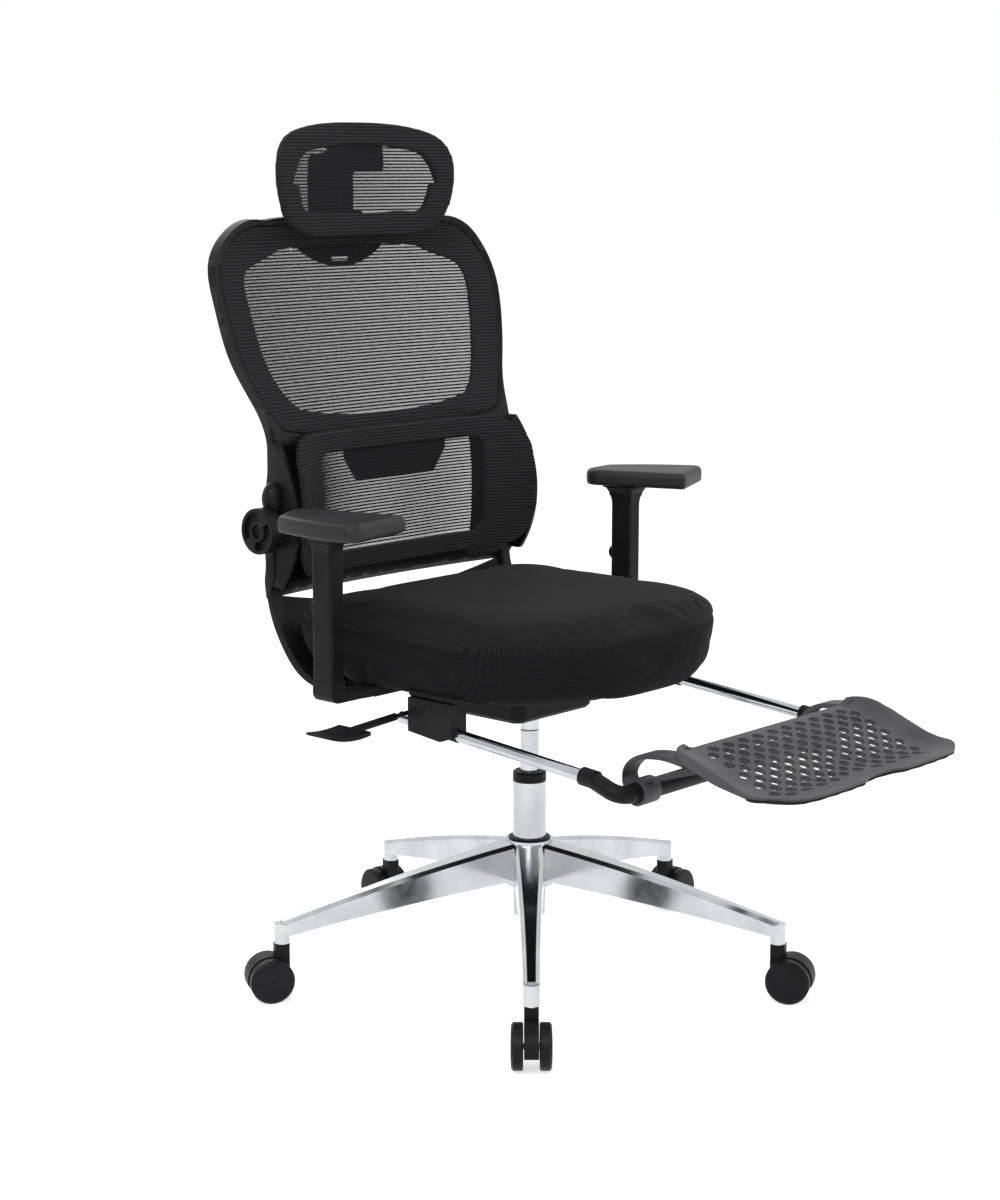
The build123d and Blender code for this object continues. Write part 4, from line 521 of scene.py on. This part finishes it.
# ---------------------------------------------------------------------------
# Lower shell of the back: the same moulding goes on as a curved web between
# the J arms, bowed clear of the cushion and arched at its foot. Behind the
# lumbar support two side flanges stiffen the frame.
WEB_THICKNESS = 0.005
WEB_HALF_WIDTH = 0.222
WEB_SIDES = ((0.402, 0.150), (0.408, 0.182), (0.423, 0.210), (0.464, 0.2215), (0.545, 0.222))
WEB_BOW = 0.0165
WEB_LINE = (
    (0.402, 0.254), (0.408, 0.264), (0.423, 0.288), (0.464, 0.323), (0.505, 0.347), (0.545, 0.356),
)
WEB_TOP, WEB_TOP_RISE = 0.504, 0.026
WEB_FOOT, WEB_ARCH = 0.407, 0.458
ARCH_FROM, ARCH_TO = 0.095, 0.185
FLANGE_OUTER, FLANGE_WIDTH, FLANGE_Y = 0.236, 0.088, 0.348
FLANGE_WAIST, FLANGE_LEAN = 0.85, 0.006
FLANGE_LOW, FLANGE_HIGH = 0.546, 0.745
WEB_BEVEL = 0.0018


def along_line(line, value):
    """Value at a place on a smooth curve through points of place and value."""
    last = len(line) - 2
    k = max(i for i in range(last + 1) if line[i][0] <= max(value, line[0][0]) or i == 0)
    (a, p), (b, q) = line[k], line[k + 1]
    before = line[k - 1] if k else line[k]
    after = line[k + 2] if k < last else line[k + 1]
    t = (value - a) / (b - a)
    m = (q - before[1]) / (b - before[0]) * (b - a)
    n = (after[1] - p) / (after[0] - a) * (b - a)
    return (
        (2 * t**3 - 3 * t**2 + 1) * p + (t**3 - 2 * t**2 + t) * m
        + (3 * t**2 - 2 * t**3) * q + (t**3 - t**2) * n
    )


web_form = bmesh.new()
web_grid = bmesh.ops.create_grid(web_form, x_segments=56, y_segments=20, size=0.5)
for vert in web_grid["verts"]:
    x = vert.co.x * 2 * WEB_HALF_WIDTH
    top = WEB_TOP + WEB_TOP_RISE * (x / WEB_HALF_WIDTH) ** 2
    foot = WEB_ARCH + (WEB_FOOT - WEB_ARCH) * soft_step(abs(x), ARCH_FROM, ARCH_TO)
    z = top + (0.5 - vert.co.y) * (foot - top)
    bow = WEB_BOW * (1 - (x / WEB_HALF_WIDTH) ** 2)
    narrowing = along_line(WEB_SIDES, z) / WEB_HALF_WIDTH
    vert.co = Vector((x * narrowing, along_line(WEB_LINE, z) + bow, z))
for side in (-1, 1):
    flange = bmesh.ops.create_grid(web_form, x_segments=6, y_segments=24, size=0.5)["verts"]
    for vert in flange:
        z = FLANGE_LOW + (vert.co.y + 0.5) * (FLANGE_HIGH - FLANGE_LOW)
        end_share = abs(2 * vert.co.y) ** 2.5
        width = FLANGE_WIDTH * (FLANGE_WAIST + (1 - FLANGE_WAIST) * end_share)
        inward = vert.co.x + 0.5
        x = side * (FLANGE_OUTER - inward * width)
        vert.co = Vector((x, FLANGE_Y + FLANGE_LEAN * inward, z))
bmesh.ops.solidify(web_form, geom=web_form.faces[:], thickness=WEB_THICKNESS)
bmesh.ops.recalc_face_normals(web_form, faces=web_form.faces)
web_mesh = bpy.data.meshes.new("back_lower_shell")
web_form.to_mesh(web_mesh)
web_form.free()
lower_shell = bpy.data.objects.new("back_lower_shell", web_mesh)
scene.collection.objects.link(lower_shell)
web_edge = lower_shell.modifiers.new("rounded_edge", "BEVEL")
web_edge.width = WEB_BEVEL
web_edge.segments = 3
web_edge.limit_method = "ANGLE"
web_edge.angle_limit = math.radians(50)
apply_modifiers(lower_shell)
lower_shell.data.shade_smooth()
lower_shell.data.materials.append(black_nylon)
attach(lower_shell, "back")


# ---------------------------------------------------------------------------
# Upper panel: a rim that the mesh is drawn over, so it reads as dense ribbed
# cloth, and the open mesh itself: flat black strands on fine upright threads.
def cloth_over_frame(node_name, new_name, rounds):
    """The cloth drawn over a moulded frame: its shape with soft edges."""
    cover = copy_of_node(node_name, new_name)
    remesh(cover, RIM_VOXEL)
    relax(cover, 0.5, rounds)
    cover.data.shade_smooth()
    return cover


def surface_under(name):
    """Finds the front face of a CAD node behind a point seen from the front."""
    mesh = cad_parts[name].data
    tree = BVHTree.FromPolygons(
        [vert.co[:] for vert in mesh.vertices], [face.vertices[:] for face in mesh.polygons]
    )

    def depth(x, z):
        hit = tree.ray_cast(Vector((x, -1.0, z)), Vector((0, 1, 0)))[0]
        return None if hit is None else hit.y

    return depth


def reach(low, high, at, step=0.001):
    """First and last place between low and high where at finds the surface."""
    count = int((high - low) / step) + 1
    found = [low + k * step for k in range(count) if at(low + k * step) is not None]
    return (found[0], found[-1]) if found else None


RIM_VOXEL = 0.0026
STRAND_PITCH, STRAND_HEIGHT, STRAND_PIECES = 0.0045, 0.0022, 22
THREAD_PITCH, THREAD_WIDTH, THREAD_PIECES = 0.00105, 0.00074, 16
TUCK = 0.005
MESH_PROUD = 0.0006
SLOPE_STEP = 0.004
SHORTEST_STRAND = 0.01
FRONT_FACING = -0.3


def open_mesh(node_name, new_name):
    """Open mesh in a window: ribbons across and fine threads upright, tucked in at the edges."""
    depth = surface_under(node_name)
    low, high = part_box(node_name)
    form = bmesh.new()

    def ribbon(start, end, along_x, other, width, pieces):
        strip = bmesh.ops.create_grid(form, x_segments=pieces, y_segments=1, size=0.5)["verts"]
        middle = (start + end) / 2
        for vert in strip:
            along = start - TUCK + (vert.co.x + 0.5) * (end - start + 2 * TUCK)
            inside = min(max(along, start), end)
            beyond = along - inside
            step = SLOPE_STEP if inside < middle else -SLOPE_STEP
            if along_x:
                here, near = depth(inside, other), depth(inside + step, other)
            else:
                here, near = depth(other, inside), depth(other, inside + step)
            if here is None:
                here = near
            slope = 0.0 if here is None or near is None else (near - here) / step
            y = (here or 0.0) + slope * beyond + MESH_PROUD
            across = other + vert.co.y * width
            vert.co = Vector((along, y, across)) if along_x else Vector((across, y, along))

    rows = int((high.z - low.z) / STRAND_PITCH)
    for row in range(1, rows + 1):
        z = low.z + row * STRAND_PITCH
        ends = reach(low.x, high.x, lambda x: depth(x, z))
        if ends and ends[1] - ends[0] > SHORTEST_STRAND:
            ribbon(ends[0], ends[1], True, z, STRAND_HEIGHT, STRAND_PIECES)
    columns = int((high.x - low.x) / THREAD_PITCH)
    for column in range(1, columns):
        x = low.x + column * THREAD_PITCH
        ends = reach(low.z, high.z, lambda z: depth(x, z))
        if ends and ends[1] - ends[0] > SHORTEST_STRAND:
            ribbon(ends[0], ends[1], False, x, THREAD_WIDTH, THREAD_PIECES)
    mesh = bpy.data.meshes.new(new_name)
    form.to_mesh(mesh)
    form.free()
    piece = bpy.data.objects.new(new_name, mesh)
    scene.collection.objects.link(piece)
    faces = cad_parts[node_name].data.polygons
    fronts = [face for face in faces if face.normal.y < FRONT_FACING]
    area = sum(face.area * -face.normal.y for face in fronts)
    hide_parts(node_name)
    return piece, (high.x - low.x, high.z - low.z), area


mesh_yarn = knitted_cloth(
    "mesh_yarn", (0.008, 0.008, 0.009), (0.020, 0.020, 0.022), STRAND_PITCH, "Z", 0.0001
)
ribbed_cover = knitted_cloth(
    "ribbed_cover", (0.006, 0.006, 0.007), (0.030, 0.030, 0.032), STRAND_PITCH, "Z", 0.0009
)

upper_cover = cloth_over_frame("upper_mesh_rim", "upper_panel_cover", 3)
upper_cover.data.materials.append(ribbed_cover)
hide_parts("upper_mesh_rim")
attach(upper_cover, "back")

upper_net, upper_flat, upper_area = open_mesh("upper_mesh", "upper_panel_mesh")
upper_net.data.materials.append(mesh_yarn)
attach(upper_net, "back")

# ---------------------------------------------------------------------------
# Lumbar support: a curved frame with the same cloth drawn over it and on round
# its sides, its own open mesh, and a stiff bar behind the mesh.
LUMBAR_HALF = 0.229
LUMBAR_CORNER = 0.055
SKIRT_DEPTH = 0.036
SKIRT_THICKNESS = 0.004
SKIRT_INSET = 0.004
SKIRT_BEHIND = 0.003
CORNER_REACH = 0.030
CORNER_KEPT = 0.12
SMOOTH_VOXEL = 0.0022

lumbar_low, lumbar_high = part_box("lumbar_frame")
lumbar_edge = surface_under("lumbar_frame")
lumbar_cover = copy_of_node("lumbar_frame", "lumbar_cover")
skirt_height = lumbar_high.z - lumbar_low.z - 2 * SKIRT_INSET
skirt_form = bmesh.new()
skirt_form.from_mesh(lumbar_cover.data)
for side in (-1, 1):
    x = side * (LUMBAR_HALF - SKIRT_INSET)
    strip = bmesh.ops.create_grid(skirt_form, x_segments=24, y_segments=6, size=0.5)["verts"]
    for vert in strip:
        z = lumbar_low.z + SKIRT_INSET + (vert.co.x + 0.5) * skirt_height
        probe_z = min(max(z, lumbar_low.z + CORNER_REACH), lumbar_high.z - CORNER_REACH)
        front = lumbar_edge(x, probe_z)
        vert.co = Vector((x, front + SKIRT_BEHIND + (vert.co.y + 0.5) * SKIRT_DEPTH, z))
    walls = list(dict.fromkeys(face for vert in strip for face in vert.link_faces))
    bmesh.ops.solidify(skirt_form, geom=walls, thickness=SKIRT_THICKNESS)
skirt_form.to_mesh(lumbar_cover.data)
skirt_form.free()
remesh(lumbar_cover, SMOOTH_VOXEL)
relax(lumbar_cover, 0.5, 4)


def round_corners(piece, half, low, high, radius):
    """Draws in the corners seen from the front, until little stays outside their arcs."""
    for vert in piece.data.vertices:
        x, z = abs(vert.co.x), vert.co.z
        middle_z = high - radius if z > (low + high) / 2 else low + radius
        out = Vector((x - (half - radius), z - middle_z))
        above = (z - middle_z) * (1 if z > (low + high) / 2 else -1) > 0
        if out.x > 0 and above and out.length > radius:
            out = out.normalized() * (radius + (out.length - radius) * CORNER_KEPT)
            vert.co.x = math.copysign(half - radius + out.x, vert.co.x)
            vert.co.z = middle_z + out.y


round_corners(lumbar_cover, LUMBAR_HALF, lumbar_low.z, lumbar_high.z, LUMBAR_CORNER)
lumbar_cover.data.shade_smooth()
lumbar_cover.data.materials.append(ribbed_cover)
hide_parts("lumbar_frame")
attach(lumbar_cover, "lumbar")
lumbar_net, lumbar_flat, lumbar_area = open_mesh("lumbar_mesh", "lumbar_panel_mesh")
lumbar_net.data.materials.append(mesh_yarn)
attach(lumbar_net, "lumbar")
dress(black_nylon, "chair_plastic", "lumbar_bar")

# ---------------------------------------------------------------------------
# Lumbar knob: a moulded disc with two C-shaped hollows round a hexagonal
# socket, on a short neck. A swelling of the frame above it holds its bearing.
KNOB_DEPTH = 0.022
KNOB_RIM = 0.0055
HOLLOW_WIDTH = 0.0115
HOLLOW_DEPTH, SOCKET_DEPTH = 0.007, 0.005
HUB_WALL = 0.004
BRIDGE_HALF_ANGLE = math.radians(24)
BRIDGE_TURN = math.radians(-35)
NECK_R, NECK_LENGTH, SHAFT_R = 0.014, 0.010, 0.006
KNOB_BEVEL = 0.0011

knob_low, knob_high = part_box("lumbar_knob")
knob_radius = (knob_high.z - knob_low.z) / 2
knob_form = bmesh.new()
bmesh.ops.create_circle(knob_form, cap_ends=True, segments=72, radius=knob_radius)
knob_face = knob_form.faces[:]
rings = []
for ring_width in (KNOB_RIM, HOLLOW_WIDTH, HUB_WALL):
    ring = bmesh.ops.inset_region(
        knob_form, faces=knob_face, thickness=ring_width, use_boundary=True, use_even_offset=True
    )
    rings.append(ring["faces"])
# The innermost edge, the socket's, goes from round to six-sided.
for vert in knob_face[0].verts:
    turn = math.atan2(vert.co.y, vert.co.x) % math.radians(60) - math.radians(30)
    vert.co *= math.cos(math.radians(30)) / math.cos(turn)


def in_bridge(face):
    """Whether the face is in one of the two bridges that part the hollows."""
    middle = face.calc_center_median()
    turn = (math.atan2(middle.y, middle.x) - BRIDGE_TURN + math.pi / 2) % math.pi - math.pi / 2
    return abs(turn) < BRIDGE_HALF_ANGLE


hollows = [face for face in rings[1] if not in_bridge(face)]
for sunk, depth in ((hollows, HOLLOW_DEPTH), (knob_face, SOCKET_DEPTH)):
    pushed = bmesh.ops.extrude_face_region(knob_form, geom=sunk)["geom"]
    bmesh.ops.delete(knob_form, geom=sunk, context="FACES_ONLY")
    moved = [item for item in pushed if isinstance(item, bmesh.types.BMVert)]
    bmesh.ops.translate(knob_form, verts=moved, vec=(0, 0, -depth))
outer_edges = [edge for edge in knob_form.edges if edge.is_boundary]
shaft_length = (knob_high.x - knob_low.x) - KNOB_DEPTH - NECK_LENGTH
# The disc's side, then in to the neck and along it, then in to the shaft and along it.
for radius, length in (
    (None, KNOB_DEPTH), (NECK_R, 0), (None, NECK_LENGTH), (SHAFT_R, 0), (None, shaft_length),
):
    drawn = bmesh.ops.extrude_edge_only(knob_form, edges=outer_edges)["geom"]
    moved = [item for item in drawn if isinstance(item, bmesh.types.BMVert)]
    lines = [item for item in drawn if isinstance(item, bmesh.types.BMEdge)]
    outer_edges = [line for line in lines if line.is_boundary]
    for vert in moved:
        if radius:
            scale = radius / Vector((vert.co.x, vert.co.y)).length
            vert.co.x *= scale
            vert.co.y *= scale
        vert.co.z -= length
bmesh.ops.contextual_create(knob_form, geom=outer_edges)
bmesh.ops.recalc_face_normals(knob_form, faces=knob_form.faces)
sharp = [edge for edge in knob_form.edges if edge.calc_face_angle(0) > math.radians(50)]
bmesh.ops.bevel(
    knob_form, geom=sharp, offset=KNOB_BEVEL, segments=2, profile=0.5, affect="EDGES", material=-1,
    clamp_overlap=True,
)
bmesh.ops.rotate(knob_form, verts=knob_form.verts, matrix=Matrix.Rotation(-math.pi / 2, 3, "Y"))
bmesh.ops.translate(
    knob_form, verts=knob_form.verts,
    vec=(knob_low.x, (knob_low.y + knob_high.y) / 2, (knob_low.z + knob_high.z) / 2),
)
knob_mesh = bpy.data.meshes.new("lumbar_knob_moulding")
knob_form.to_mesh(knob_mesh)
knob_form.free()
knob = bpy.data.objects.new("lumbar_knob_moulding", knob_mesh)
scene.collection.objects.link(knob)
knob_mesh.shade_smooth()
knob_mesh.set_sharp_from_angle(angle=math.radians(32))
knob_mesh.materials.append(black_nylon)
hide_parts("lumbar_knob")
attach(knob, "knob")

BOSS_MIDDLE = Vector((-0.246, 0.338, 0.664))
BOSS_WIDTH, BOSS_DEPTH = (0.014, 0.010), (0.015, 0.012)
BOSS_UP, BOSS_DOWN = 0.024, 0.030

boss_form = bmesh.new()
bmesh.ops.create_uvsphere(boss_form, u_segments=32, v_segments=20, radius=1.0)
for vert in boss_form.verts:
    lower = max(0.0, -vert.co.z)
    vert.co.x *= BOSS_WIDTH[0] + (BOSS_WIDTH[1] - BOSS_WIDTH[0]) * lower
    vert.co.y *= BOSS_DEPTH[0] + (BOSS_DEPTH[1] - BOSS_DEPTH[0]) * lower
    vert.co.z *= BOSS_UP if vert.co.z > 0 else BOSS_DOWN
bmesh.ops.translate(boss_form, verts=boss_form.verts, vec=BOSS_MIDDLE)
bmesh.ops.recalc_face_normals(boss_form, faces=boss_form.faces)
boss_mesh = bpy.data.meshes.new("back_knob_boss")
boss_form.to_mesh(boss_mesh)
boss_form.free()
boss = bpy.data.objects.new("back_knob_boss", boss_mesh)
scene.collection.objects.link(boss)
boss_mesh.shade_smooth()
boss_mesh.materials.append(black_nylon)
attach(boss, "back")

# ---------------------------------------------------------------------------
# Headrest: a small frame under the same cloth, its open mesh, and the hinge
# bracket and post behind it.
head_cover = cloth_over_frame("headrest_frame", "headrest_cover", 4)
head_cover.data.materials.append(ribbed_cover)
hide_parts("headrest_frame")
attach(head_cover, "headrest")
head_net, head_flat, head_area = open_mesh("headrest_mesh", "headrest_panel_mesh")
head_net.data.materials.append(mesh_yarn)
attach(head_net, "headrest")
dress(black_nylon, "chair_plastic", "headrest_bracket", "headrest_post")

# ---------------------------------------------------------------------------
# Arms: a steel bracket that runs out from under the seat, a moulded sleeve
# on it with a height button, and a pad of soft polyurethane skin.
dress(powder_coat, "painted_steel", "arm_bracket_right", "arm_bracket_left")
dress(
    black_nylon, "chair_plastic", "arm_sleeve_right", "arm_sleeve_left", "arm_button_right",
    "arm_button_left",
)
soft_skin = moulded_plastic(
    "soft_skin", (0.009, 0.009, 0.010), (0.015, 0.015, 0.017), (0.42, 0.56), 0.0012, 0.00018, 0.3
)
for side in ("right", "left"):
    pad = copy_of_node("arm_pad_" + side, "arm_pad_skin_" + side)
    remesh(pad, SMOOTH_VOXEL)
    relax(pad, 0.5, 3)
    pad.data.shade_smooth()
    pad.data.materials.append(soft_skin)
    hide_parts("arm_pad_" + side)
    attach(pad, "pad_" + side)

# ---------------------------------------------------------------------------
# Height lever: a thin steel rod out of the housing with a moulded sleeve and
# a flat paddle for the fingers.
# The rod is bare steel, but its colour here is nearly black: painted shade for where it runs under
# the housing.
rod_steel_painted_shade = bright_metal(
    "rod_steel_painted_shade", (0.05, 0.05, 0.052), (0.09, 0.09, 0.094), (0.3, 0.46), (6, 6, 1), 0.0001
)
dress(rod_steel_painted_shade, "bare_steel", "lever_rod")
dress(black_nylon, "chair_plastic", "lever_handle")

# ---------------------------------------------------------------------------
# Footrest: chromed tubes that slide in two rails under the seat, and the
# moulded elbows and cross tube at their ends, which the pad folds on.
dress(chrome, "chromed_steel", "footrest_tubes")
dress(
    black_nylon, "chair_plastic", "footrest_rail_right", "footrest_rail_left", "footrest_elbows",
    "footrest_crossbar",
)

# ---------------------------------------------------------------------------
# Footrest pad: one moulding, a wavy sheet full of lens-shaped openings with
# rolled sides and two front lobes, and a hook at each side on the cross tube.
PAD_LINE = (
    (-0.590, 0.3795), (-0.576, 0.383), (-0.545, 0.3785), (-0.527, 0.3765), (-0.505, 0.3805),
    (-0.475, 0.3915), (-0.450, 0.4015), (-0.416, 0.4120), (-0.398, 0.4145),
)
PAD_THICKNESS = 0.0062
PAD_HALF = 0.205
PAD_FLAT_HALF = 0.160
PAD_ROLL = (
    (0.160, 0.0), (0.176, 0.002), (0.188, 0.0055), (0.198, 0.0078), (0.2025, 0.0075),
    (0.205, 0.006),
)
PAD_REAR, PAD_FRONT = -0.399, -0.578
REAR_CORNER = 0.030
EDGE_FROM = 0.440
OUTLINE_SIDE, OUTLINE_FRONT, OUTLINE_REAR = 0.193, -0.570, -0.403
RIM_DEPTH, SIDE_RIM_DEPTH = 0.0025, 0.010
SIDE_RIM_X, SIDE_RIM_U = (0.175, 0.201), (-0.514, -0.458)
PAD_BEVEL = 0.0008
PAD_EDGE = (
    (0.0, -0.563), (0.024, -0.566), (0.044, -0.5745), (0.110, -0.5760), (0.150, -0.5725),
    (0.178, -0.561), (0.196, -0.541), (0.205, -0.514),
)
LATTICE_X, LATTICE_U = 0.0150, 0.0118
LATTICE_REAR, LATTICE_MIDDLE, LATTICE_FRONT = -0.412, -0.487, -0.543
LATTICE_MARGIN = 0.004
LATTICE_CELLS = 40
RIB_HALF = 0.0012
COLUMN_Y = 0.096

pad_form = bmesh.new()
bmesh.ops.create_grid(
    pad_form, x_segments=LATTICE_CELLS, y_segments=LATTICE_CELLS, size=LATTICE_CELLS / 2
)
for vert in pad_form.verts:
    i, j = vert.co.x, vert.co.y
    vert.co = Vector(((i - j) * LATTICE_X, LATTICE_MIDDLE + (i + j) * LATTICE_U, 0))
for place, outward in (
    ((PAD_HALF, 0, 0), (1, 0, 0)), ((-PAD_HALF, 0, 0), (-1, 0, 0)),
    ((0, PAD_REAR, 0), (0, 1, 0)), ((0, PAD_FRONT, 0), (0, -1, 0)),
):
    bmesh.ops.bisect_plane(
        pad_form, geom=pad_form.verts[:] + pad_form.edges[:] + pad_form.faces[:],
        plane_co=place, plane_no=outward, clear_outer=True,
    )
cell_area = 2 * LATTICE_X * LATTICE_U


def is_opening(face):
    """Whether the face is a whole lozenge of the lattice, on the flat of the pad."""
    middle = face.calc_center_median()
    whole = face.calc_area() > cell_area * 0.99
    return (
        whole and abs(middle.x) < PAD_FLAT_HALF - LATTICE_MARGIN
        and LATTICE_FRONT < middle.y < LATTICE_REAR
    )


openings = [face for face in pad_form.faces if is_opening(face)]
bmesh.ops.inset_individual(pad_form, faces=openings, thickness=RIB_HALF, use_even_offset=True)
bmesh.ops.delete(pad_form, geom=openings, context="FACES")
pad_mesh = bpy.data.meshes.new("footrest_pad_moulding")
pad_form.to_mesh(pad_mesh)
pad_form.free()
pad_board = bpy.data.objects.new("footrest_pad_moulding", pad_mesh)
scene.collection.objects.link(pad_board)
rounder = pad_board.modifiers.new("rounder", "SUBSURF")
rounder.levels = rounder.render_levels = 2
apply_modifiers(pad_board)

pad_form = bmesh.new()
pad_form.from_mesh(pad_board.data)


def on_outline(edge):
    """Whether the edge is on the board's outer edge, not on an opening's."""
    return edge.is_boundary and all(
        abs(vert.co.x) > OUTLINE_SIDE or not OUTLINE_FRONT < vert.co.y < OUTLINE_REAR
        for vert in edge.verts
    )


rim = [edge for edge in pad_form.edges if on_outline(edge)]
for vert in pad_form.verts:
    x, u = vert.co.x, vert.co.y
    side = abs(x)
    front_share = soft_step(-u, EDGE_FROM, -PAD_FRONT)
    into_corner = max(0.0, u - (PAD_REAR - REAR_CORNER))
    if side > PAD_HALF - 2 * REAR_CORNER and into_corner > 0:
        drawn_in = REAR_CORNER - math.sqrt(max(0.0, REAR_CORNER**2 - into_corner**2))
        x -= math.copysign(drawn_in * (side - PAD_HALF + 2 * REAR_CORNER) / (2 * REAR_CORNER), x)
    u += (along_line(PAD_EDGE, side) - PAD_FRONT) * front_share
    roll = along_line(PAD_ROLL, side) if side > PAD_FLAT_HALF else 0.0
    vert.co = Vector((x, u + COLUMN_Y, along_line(PAD_LINE, u) + roll))
drawn = bmesh.ops.extrude_edge_only(pad_form, edges=rim)["geom"]
for item in drawn:
    if isinstance(item, bmesh.types.BMVert):
        beside = soft_step(abs(item.co.x), *SIDE_RIM_X)
        behind = soft_step(item.co.y - COLUMN_Y, *SIDE_RIM_U)
        item.co.z -= RIM_DEPTH + (SIDE_RIM_DEPTH - RIM_DEPTH) * beside * behind
bmesh.ops.recalc_face_normals(pad_form, faces=pad_form.faces)
if sum(face.normal.z * face.calc_area() for face in pad_form.faces) < 0:
    bmesh.ops.reverse_faces(pad_form, faces=pad_form.faces)
bmesh.ops.solidify(pad_form, geom=pad_form.faces[:], thickness=PAD_THICKNESS)

# Each hook has a broad strap over the top, a collar on the tube and a strut.
CROSS_TUBE = Vector((0, -0.349 + COLUMN_Y, 0.358))
COLLAR_BORE, COLLAR_OUTER = 0.0128, 0.0168
HOOK_FROM, HOOK_TO = 0.1700, 0.2000
STRAP_LINE = (
    (-0.420, 0.4075), (-0.400, 0.4105), (-0.378, 0.4105), (-0.352, 0.4055), (-0.334, 0.3930),
    (-0.3275, 0.3780), (-0.3320, 0.3640),
)
STRAP_THICKNESS, STRAP_STEPS = 0.0065, 6
STRUT_FRONT, STRUT_REAR = (-0.448, 0.398), (-0.356, 0.370)
STRUT_WIDTH, STRUT_HEIGHT, STRUT_SLANT = 0.016, 0.007, 0.006


def smooth_run(points, count):
    """Points along a smooth curve through the given ones."""
    out = []
    for k in range(len(points) - 1):
        a, b = Vector(points[max(k - 1, 0)]), Vector(points[k])
        c, d = Vector(points[k + 1]), Vector(points[min(k + 2, len(points) - 1)])
        for step in range(count):
            t = step / count
            out.append(0.5 * (2 * b + (c - a) * t + (2 * a - 5 * b + 4 * c - d) * t**2
                              + (3 * b - a - 3 * c + d) * t**3))
    return out + [Vector(points[-1])]


strap_run = smooth_run(STRAP_LINE, STRAP_STEPS)
last = len(strap_run) - 1
for side in (-1, 1):
    strap = bmesh.ops.create_grid(pad_form, x_segments=last, y_segments=4, size=0.5)["verts"]
    for vert in strap:
        u, z = strap_run[round((vert.co.x + 0.5) * last)]
        x = (HOOK_FROM + HOOK_TO) / 2 + vert.co.y * (HOOK_TO - HOOK_FROM)
        vert.co = Vector((side * x, u + COLUMN_Y, z))
    strap_faces = list(dict.fromkeys(face for vert in strap for face in vert.link_faces))
    bmesh.ops.solidify(pad_form, geom=strap_faces, thickness=STRAP_THICKNESS)
    bore = bmesh.ops.create_circle(pad_form, segments=40, radius=COLLAR_BORE)["verts"]
    outer = bmesh.ops.create_circle(pad_form, segments=40, radius=COLLAR_OUTER)["verts"]
    edges = list(dict.fromkeys(edge for vert in bore + outer for edge in vert.link_edges))
    ring = bmesh.ops.bridge_loops(pad_form, edges=edges)["faces"]
    far = bmesh.ops.extrude_face_region(pad_form, geom=ring)["geom"]
    far_verts = [item for item in far if isinstance(item, bmesh.types.BMVert)]
    bmesh.ops.translate(pad_form, verts=far_verts, vec=(0, 0, HOOK_TO - HOOK_FROM))
    collar = bore + outer + far_verts
    bmesh.ops.rotate(pad_form, verts=collar, matrix=Matrix.Rotation(math.pi / 2, 3, "Y"))
    start = HOOK_FROM if side > 0 else -HOOK_TO
    bmesh.ops.translate(pad_form, verts=collar, vec=CROSS_TUBE + Vector((start, 0, 0)))
    strut = bmesh.ops.create_cube(pad_form, size=1.0)["verts"]
    for vert in strut:
        u, z = STRUT_FRONT if vert.co.y < 0 else STRUT_REAR
        if vert.co.z > 0:
            u += STRUT_SLANT if vert.co.y < 0 else -STRUT_SLANT
        x = side * ((HOOK_FROM + HOOK_TO) / 2 + vert.co.x * STRUT_WIDTH)
        vert.co = Vector((x, u + COLUMN_Y, z + (0.5 + vert.co.z) * STRUT_HEIGHT))
bmesh.ops.recalc_face_normals(pad_form, faces=pad_form.faces)
pad_form.to_mesh(pad_board.data)
pad_form.free()
pad_edge = pad_board.modifiers.new("rounded_edge", "BEVEL")
pad_edge.width = PAD_BEVEL
pad_edge.segments = 2
pad_edge.limit_method = "ANGLE"
pad_edge.angle_limit = math.radians(55)
apply_modifiers(pad_board)
pad_board.data.shade_smooth()
pad_board.data.set_sharp_from_angle(angle=math.radians(40))
pad_plastic = moulded_plastic(
    "pad_plastic", (0.042, 0.042, 0.046), (0.068, 0.068, 0.073), (0.4, 0.56), 0.0015, 0.0002, 0.3
)
pad_board.data.materials.append(pad_plastic)
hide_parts("footrest_pad")
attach(pad_board, "footrest_board")
